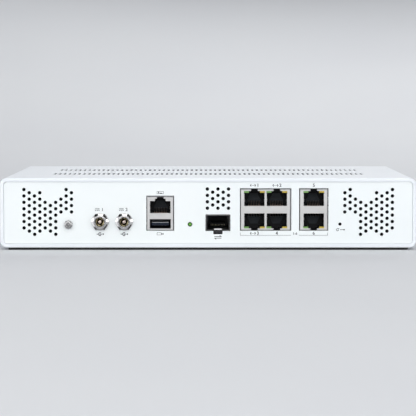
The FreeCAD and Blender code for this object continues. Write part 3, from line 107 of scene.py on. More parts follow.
class Finish(Graph):
    """A principled material with helpers for its nodes. The keywords set the shader's own sockets."""

    def __init__(self, name, **sockets):
        self.material = bpy.data.materials.new(name)
        self.material.use_nodes = True
        super().__init__(self.material.node_tree)
        self.shader = self.tree.nodes["Principled BSDF"]
        for socket, value in sockets.items():
            self.shader.inputs[socket.replace("_", " ")].default_value = value
        self.object_coords = self.node("ShaderNodeTexCoord").outputs["Object"]

    def link(self, output, socket):
        self.tree.links.new(output, self.shader.inputs[socket])

    def coords(self, stretch):
        """Place on the object. A pattern runs along an axis where stretch is small."""
        inputs = {"Vector": self.object_coords, "Scale": stretch}
        return self.node("ShaderNodeMapping", inputs).outputs["Vector"]

    def noise(self, scale, detail=3.0, roughness=0.55, stretch=(1, 1, 1)):
        inputs = {"Vector": self.coords(stretch), "Scale": scale, "Detail": detail, "Roughness": roughness}
        return self.node("ShaderNodeTexNoise", inputs).outputs["Fac"]

    def mix(self, factor, a, b):
        made = self.node("ShaderNodeMix", data_type="RGBA")
        for socket, value in ((made.inputs[0], factor), (made.inputs[6], a), (made.inputs[7], b)):
            if isinstance(value, bpy.types.NodeSocket):
                self.tree.links.new(value, socket)
            else:
                socket.default_value = value
        return made.outputs[2]

    def rise(self, value, start, end):
        """0 where value is start and before, 1 where it is end and after."""
        return self.spread(value, 0.0, 1.0, start, end)

    def mottled(self, pattern, light, dark):
        """Soft patches of light and dark that follow a noise pattern."""
        return self.mix(self.rise(pattern, 0.3, 0.7), light, dark)

    def colour(self, output):
        self.link(output, "Base Color")

    def rough(self, pattern, smooth, coarse):
        """Roughness that follows a noise pattern."""
        self.link(self.spread(pattern, smooth, coarse), "Roughness")

    def bump(self, height, distance, strength):
        made = self.node("ShaderNodeBump", {"Height": height, "Distance": distance, "Strength": strength})
        self.link(made.outputs["Normal"], "Normal")

    def metal_grain(self, rough, stretch=(1, 1, 1), scale=900.0, dent=0.004, extra_rough=None):
        """Roughness and dents of a fine grain, which it returns. The dents' depth is in millimetres."""
        grain = self.noise(scale, 4.0, 0.6, stretch)
        roughness = self.spread(grain, *rough)
        if extra_rough is not None:
            roughness = self.math("ADD", roughness, extra_rough)
        self.link(roughness, "Roughness")
        if dent:
            self.bump(grain, dent * MM, 0.5)
        return grain

    def plastic_grain(self, rough, scale=1600.0):
        """Roughness and dents of moulded plastic."""
        texture = self.noise(scale, 3.0)
        self.rough(texture, *rough)
        self.bump(texture, 0.012 * MM, 0.6)

    def axes(self):
        """The surface point's x, y and z."""
        return self.node("ShaderNodeSeparateXYZ", {"Vector": self.object_coords}).outputs

    def radius(self, middle):
        """Distance from the line along Y through a point."""
        x, _, z = self.axes()
        across = self.math("SUBTRACT", x, middle.x)
        upward = self.math("SUBTRACT", z, middle.z)
        across_squared = self.math("MULTIPLY", across, across)
        upward_squared = self.math("MULTIPLY", upward, upward)
        return self.math("SQRT", self.math("ADD", across_squared, upward_squared))

    def inside(self, low, high):
        """1 where the surface lies inside a box of the shared frame, else 0."""
        result = 1.0
        for axis, a, b in zip(self.axes(), low, high):
            above = self.math("GREATER_THAN", axis, a)
            below = self.math("LESS_THAN", axis, b)
            result = self.math("MULTIPLY", self.math("MULTIPLY", above, below), result)
        return result


def rgb(r, g, b):
    return (r, g, b, 1.0)


COAT_AND_SHADE = rgb(0.012, 0.012, 0.013)           # near-black paint inside the shells and in their openings: partly a conductive coat, partly painted shade
CHROME, CHROME_SHADE = rgb(0.72, 0.71, 0.70), rgb(0.60, 0.59, 0.58)
BLACK, BLACK_SHADE = rgb(0.0065, 0.007, 0.009), rgb(0.004, 0.004, 0.005)
SLOT_EDGE = 0.5 * MM                             # depth of a slot's upper edge, which stays white; below it the slot's walls get painted shade


def shell_finish(name, light, dark, coat_and_shade_boxes, grain):
    """White outside with a fine texture, and near black in each of the boxes in coat_and_shade_boxes: partly
    a conductive coat, partly painted shade.
    """
    f = Finish(name, Specular_IOR_Level=0.45)
    tone = f.mottled(f.noise(14.0, 2.0), light, dark)
    for low, high in coat_and_shade_boxes:
        # near black in each box: partly a conductive coat, partly painted shade
        tone = f.mix(f.inside(low, high), tone, COAT_AND_SHADE)
    f.colour(tone)
    texture = f.noise(grain, 2.0, 0.5)
    f.rough(texture, 0.40, 0.54)
    f.bump(texture, 0.010 * MM, 0.6)
    return f.material


def housing_finish():
    """The cover and the tray: near black inside, partly a conductive coat and partly painted shade, and
    painted shade on the walls of the ventilation slots of the top.
    """
    skin, rim, margin = 0.8 * WALL, 2.5 * MM, 20 * MM
    inner_low = (COVER_LOW.x + skin, COVER_LOW.y + rim, TRAY_LOW.z + skin)
    inner_high = (COVER_HIGH.x - skin, COVER_HIGH.y - rim, COVER_HIGH.z - skin)
    # painted shade on the slot walls below their upper edge
    slots_low = (COVER_LOW.x + margin, COVER_LOW.y + margin, COVER_HIGH.z - 2 * WALL)
    slots_high = (COVER_HIGH.x - margin, COVER_HIGH.y - margin, COVER_HIGH.z - SLOT_EDGE)
    coat_and_shade_boxes = ((inner_low, inner_high), (slots_low, slots_high))
    return shell_finish("housing_white", rgb(0.87, 0.90, 0.93), rgb(0.845, 0.88, 0.915), coat_and_shade_boxes, 2100.0)


def panel_finish():
    """The port panel: near black behind, partly a conductive coat and partly painted shade, and painted shade
    on the walls of its openings.
    """
    skin, reach, margin = 0.12 * MM, 40 * MM, 5 * MM
    low = (COVER_LOW.x + margin, PANEL_Y + skin, TRAY_LOW.z + margin)
    high = (COVER_HIGH.x - margin, PANEL_Y + reach, COVER_HIGH.z - margin)
    # near black from just behind the front face: painted shade in the openings and behind the panel
    coat_and_shade_boxes = ((low, high),)
    return shell_finish("panel_white", rgb(0.90, 0.935, 0.93), rgb(0.875, 0.915, 0.92), coat_and_shade_boxes, 3000.0)


def fascia_finish():
    """The far-side fascia: near black behind, partly a conductive coat and partly painted shade."""
    edge = 0.3 * MM
    low = (COVER_LOW.x, COVER_LOW.y, TRAY_LOW.z)
    high = (COVER_HIGH.x, FASCIA_LOW.y + edge, COVER_HIGH.z)
    # near black behind the fascia: partly a conductive coat, partly painted shade
    coat_and_shade_boxes = ((low, high),)
    return shell_finish("fascia_white", rgb(0.84, 0.86, 0.89), rgb(0.81, 0.84, 0.87), coat_and_shade_boxes, 2400.0)


def metal_finish(name, bright, dull, rough, **grain):
    """Sheet or turned metal with a fine grain."""
    f = Finish(name, Metallic=1.0)
    f.colour(f.mottled(f.noise(90.0, 3.0), bright, dull))
    f.metal_grain(rough, **grain)
    return f.material


def shield_finish(node):
    """Bright tinned sheet with painted shade along its bent edges, the widest along its top."""
    low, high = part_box(node)
    f = Finish(node + "_metal", Metallic=1.0)
    x, _, z = f.axes()
    shaded_edges = (
        (f.math("SUBTRACT", high.z, z), 1.1 * MM),
        (f.math("SUBTRACT", z, low.z), 0.6 * MM),
        (f.math("SUBTRACT", x, low.x), 0.5 * MM),
        (f.math("SUBTRACT", high.x, x), 0.6 * MM),
    )
    bright = 1.0
    for inwards, width in shaded_edges:
        bright = f.math("MINIMUM", bright, f.rise(inwards, 0.55 * width, width))
    sheet = f.mottled(f.noise(90.0, 3.0), rgb(0.64, 0.635, 0.62), rgb(0.58, 0.575, 0.56))
    # painted shade: darker grey near the edges of the shield's face
    f.colour(f.mix(bright, rgb(0.40, 0.40, 0.41), sheet))
    f.metal_grain((0.28, 0.42), (0.12, 1, 1))
    return f.material


def barrel_finish(number):
    """Chrome outside, and near black and rougher inside the bore."""
    bore_r, bore_rough = 3.45 * MM, 0.35
    f = Finish(f"barrel_{number}_chrome", Metallic=1.0)
    bore = f.math("LESS_THAN", f.radius(MOUNTS[f"dc_inlet_{number}"]), bore_r)
    bore_extra_rough = f.math("MULTIPLY", bore, bore_rough)
    grain = f.metal_grain((0.06, 0.14), scale=500.0, dent=0.0015, extra_rough=bore_extra_rough)
    # near black inside the bore
    f.colour(f.mix(bore, f.mix(grain, CHROME, CHROME_SHADE), rgb(0.045, 0.042, 0.035)))
    return f.material


def bay_finish(node):
    """Sheet round the mouth of the fibre bay: darkened with painted shade, with a painted highlight along its
    top edge.
    """
    edge, fade = 0.5 * MM, 0.3 * MM
    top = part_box("sfp_spring_collar")[1].z
    f = Finish(node + "_steel", Metallic=1.0)
    # painted highlight along the top edge, painted shade on the rest of the sheet
    lit_top = f.rise(f.axes()[2], top - edge - fade, top - edge)
    grain = f.metal_grain((0.26, 0.42), (1, 0.3, 1), scale=1500.0)
    shaded_sheet = f.mix(grain, rgb(0.20, 0.20, 0.205), rgb(0.07, 0.07, 0.072))
    lit_top_sheet = f.mix(grain, rgb(0.36, 0.36, 0.36), rgb(0.2, 0.2, 0.2))
    f.colour(f.mix(lit_top, shaded_sheet, lit_top_sheet))
    return f.material


def latch_finish():
    """Rougher and less metallic where modules slide over the tab, with a near-white painted highlight there,
    and painted shade on its turned-down lip except at the very bottom.
    """
    low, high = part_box("sfp_latch")
    lip, tab_depth, worn_rough, worn_metallic = 1.55 * MM, 3 * MM, 0.35, 0.45
    tab_low = (low.x - MM, low.y - MM, low.z + lip)
    tab_high = (high.x + MM, PANEL_Y + tab_depth, high.z - 0.1 * MM)
    f = Finish("latch_steel")
    worn_and_lit = f.inside(tab_low, tab_high)
    wear = f.math("MULTIPLY", worn_and_lit, worn_rough)
    f.metal_grain((0.22, 0.36), (1, 0.3, 0.3), dent=0.0, extra_rough=wear)
    above_edge = f.rise(f.axes()[2], low.z + 0.2 * MM, low.z + 0.5 * MM)
    # painted shade on the lip above its bottom edge
    shaded_lip = f.mix(above_edge, rgb(0.62, 0.62, 0.63), rgb(0.07, 0.07, 0.075))
    # painted highlight: near white on the worn tab
    f.colour(f.mix(worn_and_lit, shaded_lip, rgb(0.97, 0.97, 0.96)))
    f.link(f.spread(worn_and_lit, 1.0, worn_metallic, 0.0, 1.0), "Metallic")
    return f.material


def usb_shell_finish():
    """Tube darkened with painted shade; only the front edge of the plate on the tongue keeps bright steel."""
    place = MOUNTS["usb_port"]
    plate_low = (place.x - 6 * MM, place.y, place.z + 0.4 * MM)
    plate_high = (place.x + 6 * MM, place.y + 1.35 * MM, place.z + 1.2 * MM)
    f = Finish("usb_steel", Metallic=1.0)
    grain = f.metal_grain((0.28, 0.42), (0.3, 1, 1), dent=0.003)
    # painted shade: the steel of the tube is made near black
    shaded_tube = f.mix(grain, rgb(0.12, 0.12, 0.13), rgb(0.07, 0.07, 0.08))
    plate = f.mix(grain, rgb(0.80, 0.80, 0.80), rgb(0.70, 0.70, 0.70))
    f.colour(f.mix(f.inside(plate_low, plate_high), shaded_tube, plate))
    return f.material


def plastic_finish(name, light, dark, rough, shine=0.4, **grain):
    """Moulded plastic with a fine texture."""
    f = Finish(name, Specular_IOR_Level=shine)
    f.colour(f.mottled(f.noise(70.0, 2.0), light, dark))
    f.plastic_grain(rough, **grain)
    return f.material


def stack_finish():
    """Black body of the console and USB stack, dark blue round the USB tongue."""
    place = MOUNTS["usb_port"]
    blue_low = (place.x - 7 * MM, place.y - 1 * MM, place.z - 3.2 * MM)
    blue_high = (place.x + 7 * MM, place.y + 12 * MM, place.z + 3.2 * MM)
    f = Finish("stack_plastic", Specular_IOR_Level=0.16)
    black = f.mix(f.noise(70.0, 2.0), BLACK, BLACK_SHADE)
    f.colour(f.mix(f.inside(blue_low, blue_high), black, rgb(0.010, 0.0145, 0.027)))
    f.plastic_grain((0.34, 0.5))
    return f.material


def rubber_finish():
    """Near-black rubber with a little dust."""
    f = Finish("foot_rubber", Specular_IOR_Level=0.3)
    texture = f.noise(1300.0, 4.0, 0.65)
    dust = f.rise(f.noise(220.0, 4.0, 0.7), 0.45, 0.8)
    f.colour(f.mix(dust, rgb(0.022, 0.022, 0.021), rgb(0.05, 0.05, 0.047)))
    f.rough(texture, 0.7, 0.92)
    f.bump(texture, 0.03 * MM, 0.8)
    return f.material


def board_finish():
    """Green solder mask with raised traces in a square lattice."""
    f = Finish("board_green", Specular_IOR_Level=0.5)
    flat = {"Vector": f.coords((1, 1, 0)), "Scale": 420.0}
    cells = f.node("ShaderNodeTexVoronoi", flat, distance="CHEBYCHEV", feature="F1").outputs["Distance"]
    trace = f.math("LESS_THAN", f.math("PINGPONG", cells, 0.12), 0.05)
    region = f.math("GREATER_THAN", f.noise(60.0, 2.0, 0.5, (1, 1, 0)), 0.5)
    lines = f.math("MULTIPLY", trace, region)
    f.colour(f.mix(lines, rgb(0.010, 0.085, 0.035), rgb(0.022, 0.16, 0.065)))
    f.rough(f.noise(300.0), 0.26, 0.40)
    f.bump(lines, 0.03 * MM, 0.7)
    return f.material


def gap_pad_finish():
    """Soft grey gap filler."""
    f = Finish("pad_grey", Specular_IOR_Level=0.25)
    mottle = f.noise(700.0, 5.0, 0.7)
    f.colour(f.mottled(mottle, rgb(0.30, 0.34, 0.42), rgb(0.42, 0.45, 0.52)))
    f.rough(mottle, 0.75, 0.9)
    f.bump(mottle, 0.05 * MM, 0.8)
    return f.material


def clear_finish():
    """Clear acrylic with a faint frost."""
    f = Finish("clear_guide", Transmission_Weight=0.85, IOR=1.49, Specular_IOR_Level=0.5)
    frost = f.noise(900.0, 3.0)
    f.colour(f.mottled(frost, rgb(0.90, 0.95, 0.96), rgb(0.82, 0.90, 0.92)))
    f.rough(frost, 0.18, 0.4)
    return f.material


def light_finish(name, bright, deep):
    """Diffusing lens of a small indicator, with a faint painted glow although the indicator is unlit."""
    f = Finish(name, Specular_IOR_Level=0.5, Emission_Strength=0.05)
    cloud = f.noise(650.0, 2.0)
    tone = f.mottled(cloud, bright, deep)
    f.colour(tone)
    # painted glow: the lens colour is also emitted
    f.link(tone, "Emission Color")
    f.rough(cloud, 0.25, 0.42)
    f.bump(cloud, 0.01 * MM, 0.4)
    return f.material


def dome_finish():
    """The power light: its glow painted into colour and emission, bright in the middle of its dome and deep
    green towards its rim.
    """
    f = Finish("light_green_dome", Specular_IOR_Level=0.3, Emission_Strength=0.08)
    rim = f.rise(f.radius(LED_MIDDLE), 0.1 * MM, 1.0 * MM)
    # painted glow: brightest in the middle of the dome
    tone = f.mix(rim, rgb(0.18, 0.46, 0.06), rgb(0.012, 0.10, 0.006))
    f.colour(tone)
    f.link(tone, "Emission Color")
    f.rough(f.noise(900.0, 2.0), 0.12, 0.22)
    return f.material


def ink_finish():
    """Grey ink of the printed marks."""
    f = Finish("ink_grey", Specular_IOR_Level=0.3)
    grain = f.noise(3500.0, 3.0)
    f.colour(f.mottled(grain, rgb(0.030, 0.032, 0.036), rgb(0.075, 0.078, 0.084)))
    f.rough(grain, 0.5, 0.7)
    return f.material


# rough is the roughness of the smoothest and the coarsest grain; metal_grain and plastic_grain say the rest
METALS = {
    "screw_steel": dict(bright=rgb(0.55, 0.55, 0.54), dull=rgb(0.42, 0.42, 0.42), rough=(0.22, 0.38)),
    "screw_zinc": dict(bright=rgb(0.60, 0.60, 0.59), dull=rgb(0.38, 0.38, 0.38), rough=(0.2, 0.36)),
    "cell_steel": dict(bright=rgb(0.68, 0.68, 0.66), dull=rgb(0.6, 0.6, 0.58), rough=(0.18, 0.3)),
    "chrome_plate": dict(bright=CHROME, dull=CHROME_SHADE, rough=(0.06, 0.14), scale=500.0, dent=0.0015),
    "contact_gold": dict(bright=rgb(0.86, 0.64, 0.28), dull=rgb(0.70, 0.49, 0.20), rough=(0.18, 0.32),
                         stretch=(1, 0.2, 1)),
    "edge_gold": dict(bright=rgb(1.0, 0.95, 0.76), dull=rgb(0.95, 0.88, 0.66), rough=(0.5, 0.65),
                      stretch=(1, 0.2, 1)),
    "wire_bronze": dict(bright=rgb(0.54, 0.42, 0.34), dull=rgb(0.42, 0.325, 0.26), rough=(0.42, 0.6),
                        stretch=(1, 0.2, 1)),
    "sleeve_bronze": dict(bright=rgb(0.52, 0.45, 0.27), dull=rgb(0.36, 0.31, 0.17), rough=(0.26, 0.42),
                          stretch=(1, 0.3, 1)),
    "pin_nickel": dict(bright=rgb(0.78, 0.68, 0.62), dull=rgb(0.62, 0.52, 0.46), rough=(0.14, 0.26),
                       stretch=(1, 0.3, 1)),
    "sink_aluminium": dict(bright=rgb(0.66, 0.67, 0.68), dull=rgb(0.56, 0.57, 0.59), rough=(0.30, 0.46),
                           stretch=(1, 0.05, 1), scale=1400.0, dent=0.008),
    "can_aluminium": dict(bright=rgb(0.74, 0.74, 0.74), dull=rgb(0.64, 0.64, 0.64), rough=(0.2, 0.34),
                          stretch=(1, 1, 0.1)),
}
PLASTICS = {
    "black_plastic": dict(light=BLACK, dark=BLACK_SHADE, rough=(0.34, 0.5), shine=0.16),
    "port_grey": dict(light=rgb(0.036, 0.042, 0.048), dark=rgb(0.026, 0.030, 0.035), rough=(0.5, 0.7),
                      shine=0.2),
    "screen_black": dict(light=rgb(0.006, 0.006, 0.0065), dark=rgb(0.003, 0.003, 0.0035), rough=(0.6, 0.8),
                         shine=0.05),
    "chip_black": dict(light=rgb(0.022, 0.022, 0.024), dark=rgb(0.015, 0.015, 0.016), rough=(0.42, 0.62)),
    "coil_grey": dict(light=rgb(0.075, 0.075, 0.08), dark=rgb(0.05, 0.05, 0.052), rough=(0.55, 0.75),
                      scale=2600.0),
}
# by the name of a slot of the record, or by a name of this script's own
FINISHES = {
    "housing_white": housing_finish(),
    "panel_white": panel_finish(),
    "foot_rubber": rubber_finish(),
    "board_green": board_finish(),
    "pad_grey": gap_pad_finish(),
    "clear_guide": clear_finish(),
    "light_green": light_finish("light_green", rgb(0.17, 0.33, 0.09), rgb(0.12, 0.27, 0.06)),
    "light_amber": light_finish("light_amber", rgb(0.50, 0.38, 0.05), rgb(0.42, 0.30, 0.035)),
    "ink": ink_finish(),
}
FINISHES.update({name: metal_finish(name, **look) for name, look in METALS.items()})
FINISHES.update({name: plastic_finish(name, **look) for name, look in PLASTICS.items()})
# nodes whose look differs from that of their slot
NODE_FINISHES = {
    "status_panel": fascia_finish(),
    "power_led": dome_finish(),
    "sfp_spring_collar": bay_finish("sfp_spring_collar"),
    "sfp_cage": bay_finish("sfp_cage"),
    "dc_jack_1_pin": FINISHES["pin_nickel"],
    "dc_jack_2_pin": FINISHES["pin_nickel"],
    "sfp_contacts": FINISHES["edge_gold"],
    "sfp_latch": latch_finish(),
    "usb_shell": usb_shell_finish(),
    "dc_jack_1_barrel": barrel_finish(1),
    "dc_jack_2_barrel": barrel_finish(2),
    "console_usb_housing": stack_finish(),
    "ground_screw": FINISHES["screw_zinc"],
    "ground_washer": FINISHES["screw_zinc"],
}
NODE_FINISHES.update({node: shield_finish(node) for node in SHIELDS})


def paint_nodes():
    """Gives every CAD node its own finish, or else that of its slot in the record."""
    slots = {s["node"]: s["material_slot"] for s in frame["record"]["subparts"]}
    for name, obj in frame["nodes"].items():
        finish = NODE_FINISHES[name] if name in NODE_FINISHES else FINISHES[slots[name]]
        if not obj.material_slots:
            obj.data.materials.append(finish)
        for slot in obj.material_slots:
            slot.material = finish


# ================================================================== small mesh helpers
def mesh_from(bm, name, smooth):
    """Turns a bmesh into a mesh. With smooth, its four-sided faces are shaded smooth."""
    bmesh.ops.recalc_face_normals(bm, faces=bm.faces)
    if smooth:
        for face in bm.faces:
            face.smooth = len(face.verts) == 4
    mesh = bpy.data.meshes.new(name)
    bm.to_mesh(mesh)
    bm.free()
    return mesh


def piece(name, bm, finish, smooth=False):
    """Makes an object that rides on the chassis."""
    mesh = mesh_from(bm, name, smooth)
    mesh.materials.append(FINISHES[finish])
    obj = bpy.data.objects.new(name, mesh)
    bpy.context.scene.collection.objects.link(obj)
    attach(obj, CHASSIS)
    return obj


def on_circle(x, z, radius, angle):
    """The point of a circle at an angle in radians."""
    return x + radius * math.cos(angle), z + radius * math.sin(angle)


def row(middle, count, pitch):
    """Evenly spaced places about a middle."""
    return [middle + (n - (count - 1) / 2) * pitch for n in range(count)]


def add_tube(bm, rings, closed=False):
    """Skins a run of rings of corners, which closes on itself or else gets a cap at each end."""
    made = [[bm.verts.new(corner) for corner in ring] for ring in rings]
    pairs = list(zip(made, made[1:]))
    if closed:
        pairs.append((made[-1], made[0]))
    else:
        bm.faces.new(made[0])
        bm.faces.new(made[-1][::-1])
    for a, b in pairs:
        for k in range(len(a)):
            j = (k + 1) % len(a)
            bm.faces.new((a[k], a[j], b[j], b[k]))


def add_prism(bm, outline, y, thickness):
    """A slab from y to y + thickness whose outline is a list of (x, z)."""
    add_tube(bm, [[(x, depth, z) for x, z in outline] for depth in (y, y + thickness)])


def add_slab(bm, outline, x0, x1):
    """A slab from x0 to x1 whose outline is a list of (y, z)."""
    add_tube(bm, [[(x, y, z) for y, z in outline] for x in (x0, x1)])


def box_outline(x0, x1, z0, z1):
    """The corners (x, z) of a box."""
    return [(x0, z0), (x1, z0), (x1, z1), (x0, z1)]


# ================================================================== printed marks
PRINT_T = 0.012 * MM                             # thickness of a printed mark
PRINT_STEP = 0.0005 * MM                         # each shape of a mark stands this much prouder than the last
FACE_HEIGHT = 0.7                                # height of a figure in the built-in face at size 1
FACE_WEIGHT = 0.02                               # how far its outline is moved out to make it bold
# widths of strokes and the height of the figures, in millimetres
LINE = 0.48
ARROW_LINE = 0.36
RESET_LINE = 0.32
FINE_LINE = 0.2
FIGURE = 1.95


class Print:
    """Marks printed on a face that looks along -Y, or +Y with facing=1.

    Shapes are given in millimetres, from a point that at() is given in metres.
    """

    def __init__(self, name, plane_y, facing=-1):
        self.name = name
        self.plane_y = plane_y
        self.facing = facing
        self.thickness = PRINT_T
        self.bm = bmesh.new()
        self.at(0.0, 0.0)

    def at(self, x, z):
        """Moves the origin of the shapes that follow."""
        self.x, self.z = x, z

    def shape(self, *outlines):
        """Prints outlines that do not overlap, a step prouder than what is under them."""
        self.thickness += PRINT_STEP
        front = self.plane_y - self.thickness if self.facing < 0 else self.plane_y
        for outline in outlines:
            placed = [(self.x + x * MM, self.z + z * MM) for x, z in outline]
            add_prism(self.bm, placed, front, self.thickness)

    def bar(self, x0, x1, z0, z1):
        """A filled box."""
        self.shape(box_outline(x0, x1, z0, z1))

    def hollow_box(self, x0, x1, z0, z1):
        """Outline of a box in a fine line."""
        for x in (x0, x1 - FINE_LINE):
            self.bar(x, x + FINE_LINE, z0, z1)
        for z in (z0, z1 - FINE_LINE):
            self.bar(x0 + FINE_LINE, x1 - FINE_LINE, z, z + FINE_LINE)

    def stroke(self, start, end, width=LINE):
        """A straight line from point to point."""
        a, b = Vector(start), Vector(end)
        side = (b - a).normalized().orthogonal() * width / 2
        self.shape([tuple(a - side), tuple(b - side), tuple(b + side), tuple(a + side)])

    def arc(self, x, z, radius, start, sweep, width=LINE, steps=28):
        """Part of a ring, from start degrees on and sweep degrees long."""
        inner, outer = radius - width / 2, radius + width / 2
        turns = [math.radians(start + sweep * step / steps) for step in range(steps + 1)]
        segments = []
        for a, b in zip(turns, turns[1:]):
            corners = ((inner, a), (inner, b), (outer, b), (outer, a))
            segments.append([on_circle(x, z, r, angle) for r, angle in corners])
        self.shape(*segments)

    def disc(self, x, z, radius, steps=20):
        """A dot."""
        self.shape([on_circle(x, z, radius, 2 * math.pi * i / steps) for i in range(steps)])

    def numeral(self, text, x, z, height=FIGURE):
        """A bold figure in the built-in face, centred on (x, z)."""
        curve = bpy.data.curves.new(self.name + "_text", "FONT")
        curve.body = text
        curve.align_x = "CENTER"
        curve.align_y = "CENTER"
        curve.offset = FACE_WEIGHT
        scale = height * MM / FACE_HEIGHT
        curve.extrude = PRINT_T / 2 / scale
        holder = bpy.data.objects.new(self.name + "_text", curve)
        bpy.context.scene.collection.objects.link(holder)
        mesh = bpy.data.meshes.new_from_object(holder)
        turn = Matrix.Rotation(math.radians(90), 4, "X")
        if self.facing > 0:
            turn = Matrix.Rotation(math.radians(180), 4, "Z") @ turn
        middle = (self.x + x * MM, self.plane_y + self.facing * PRINT_T / 2, self.z + z * MM)
        mesh.transform(Matrix.Translation(middle) @ turn @ Matrix.Scale(scale, 4))
        self.bm.from_mesh(mesh)
        bpy.data.objects.remove(holder)
        bpy.data.curves.remove(curve)
        bpy.data.meshes.remove(mesh)

    def finish(self):
        piece(self.name, self.bm, "ink")


def link_sign(marks, x):
    """Two arrow heads with three dots between them."""
    for side in (-1, 1):
        for lift in (-0.6, 0.6):
            marks.stroke((x + side * 1.7, 0), (x + side * 1.05, lift))
    for i in (-1, 0, 1):
        marks.disc(x + i * 0.6, 0, 0.2)


def port_marks():
    """Port numbers, and the bracket under all six copper ports with its range of numbers."""
    marks = Print("port_marks", PANEL_Y)
    off_shield, bracket_drop = 2.0 * MM, 3.2 * MM
    for number in ETHERNET_PORTS:
        place, upper = port_place(number)
        marks.at(place.x, SHIELD_HIGH.z + off_shield if upper else SHIELD_LOW.z - off_shield)
        if number <= LINKED_PORTS:
            link_sign(marks, -0.9)
            marks.numeral(str(number), 2.2, 0)
        else:
            marks.numeral(str(number), 0, 0)
    middle = (SHIELD_HIGH.x + DUAL_LOW.x) / 2
    left, right = (SHIELD_LOW.x - middle) / MM - 0.1, (DUAL_HIGH.x - middle) / MM + 0.1
    marks.at(middle, SHIELD_LOW.z - bracket_drop)
    for start, end in ((left, -2.4), (2.4, right)):
        marks.bar(start, end, -FINE_LINE / 2, FINE_LINE / 2)
    for x in (left, right - FINE_LINE):
        marks.bar(x, x + FINE_LINE, 0, 1.7)
    marks.numeral("1-6", 0, 1.0, 1.5)
    marks.finish()


def inlet_marks():
    """A direct-current sign and the number of each inlet, and the centre-positive sign under it."""
    marks = Print("inlet_marks", PANEL_Y)
    over_inlet, under_inlet = 25.2 * MM, 9.9 * MM
    for number in (1, 2):
        x = MOUNTS[f"dc_inlet_{number}"].x
        marks.at(x, over_inlet)
        marks.bar(-3.1, -0.3, 0.25, 0.25 + LINE)
        for i in range(3):
            dash = -3.1 + i * 1.05
            marks.bar(dash, dash + 0.7, -0.25 - LINE, -0.25)
        marks.numeral(str(number), 1.5, 0)
        marks.at(x, under_inlet)
        marks.disc(0, 0, 0.4)
        marks.arc(0, 0, 0.95, 50, 260)
        marks.stroke((0, 0), (1.3, 0))
        marks.stroke((1.5, 0), (2.4, 0))
        marks.stroke((1.95, -0.45), (1.95, 0.45))
        marks.stroke((-2.2, 0), (-1.3, 0))
    marks.finish()


def console_sign(marks):
    """A screen with a prompt on it."""
    marks.hollow_box(-2.1, 2.1, -0.8, 0.8)
    marks.stroke((-1.3, 0.45), (-0.7, 0))
    marks.stroke((-0.7, 0), (-1.3, -0.45))
    marks.stroke((-0.2, -0.4), (1.2, -0.4))


def plug_sign(marks):
    """A plug with two contacts at its tip."""
    marks.hollow_box(-2.1, 0.7, -0.8, 0.8)
    marks.hollow_box(0.7, 2.1, -0.5, 0.5)
    for lift in (-0.25, 0.25):
        marks.bar(1.1, 1.6, lift - FINE_LINE / 2, lift + FINE_LINE / 2)


def fibre_sign(marks):
    """Two half arrows that point opposite ways."""
    for side in (1, -1):
        tip, lift = side * 2.2, side * 0.5
        marks.stroke((-tip, lift), (tip, lift), ARROW_LINE)
        marks.stroke((tip, lift), (tip - side * 1.2, lift + side * 0.65), ARROW_LINE)


def reset_sign(marks):
    """A loop that ends in an arrow head, and a pin."""
    marks.arc(0, 0, 0.7, 60, 285, RESET_LINE)
    marks.stroke((0.35, 0.6), (0.95, 0.8), RESET_LINE)
    marks.stroke((0.35, 0.6), (0.55, 0.05), RESET_LINE)
    marks.stroke((1.5, 0), (4.1, 0), RESET_LINE)
    marks.disc(4.1, 0, 0.45)


def socket_marks():
    """A screen for the console, a plug for USB, arrows for the fibre bay and a loop for reset."""
    marks = Print("socket_marks", PANEL_Y)
    reset_x = sum(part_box("reset_button"), Vector()).x / 2
    for sign, x, z in (
        (console_sign, MOUNTS["console_port"].x, 35.9 * MM),
        (plug_sign, MOUNTS["usb_port"].x, 10.1 * MM),
        (fibre_sign, MOUNTS["fibre_module_bay"].x, 7.9 * MM),
        (reset_sign, reset_x - 1.5 * MM, 12.7 * MM),
    ):
        marks.at(x, z)
        sign(marks)
    marks.finish()


def status_marks():
    """Port numbers under the far-side lights, and a power sign under each of the three system lights."""
    marks = Print("status_marks", FASCIA_HIGH.y, facing=1)
    guide_end, under_lights = 3 * MM, 12.6 * MM
    pitch, port_group = 7, 29
    marks.at(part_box("light_guide")[1].x - guide_end, under_lights)
    for i in range(7):
        marks.numeral(str(i + 1), -port_group - i * pitch, 0)
    for i in range(3):
        marks.arc(-i * pitch, 0, 0.9, 120 - i * 20, 300)
        marks.stroke((-i * pitch, 0.2), (-i * pitch, 1.2))
    marks.finish()


# ================================================================== contacts inside the modular ports
PORT_HEIGHT = 8.25 * MM
CONSOLE_HEIGHT = 7.5 * MM
CONTACT_PITCH = 1.02 * MM
WIRE_R = 0.2 * MM
# where the wires start, bend and end, behind the face of the shield
WIRE_START = 2.7 * MM
WIRE_BEND = 4.4 * MM
WIRE_END = 11.5 * MM
WIRE_RISE = 2.3 * MM
BEND_R = 1.2 * MM
TIP_R = 0.45 * MM


def port_floors():
    """(x, z of the contact side, +1 when the wires rise and -1 when they hang) of all seven modular ports."""
    floors = []
    for number in ETHERNET_PORTS:
        place, upper = port_place(number)
        up = 1 if upper else -1
        floors.append((place.x, place.z - up * PORT_HEIGHT / 2, up))
    place = MOUNTS["console_port"]
    floors.append((place.x, place.z - CONSOLE_HEIGHT / 2, 1))
    return floors


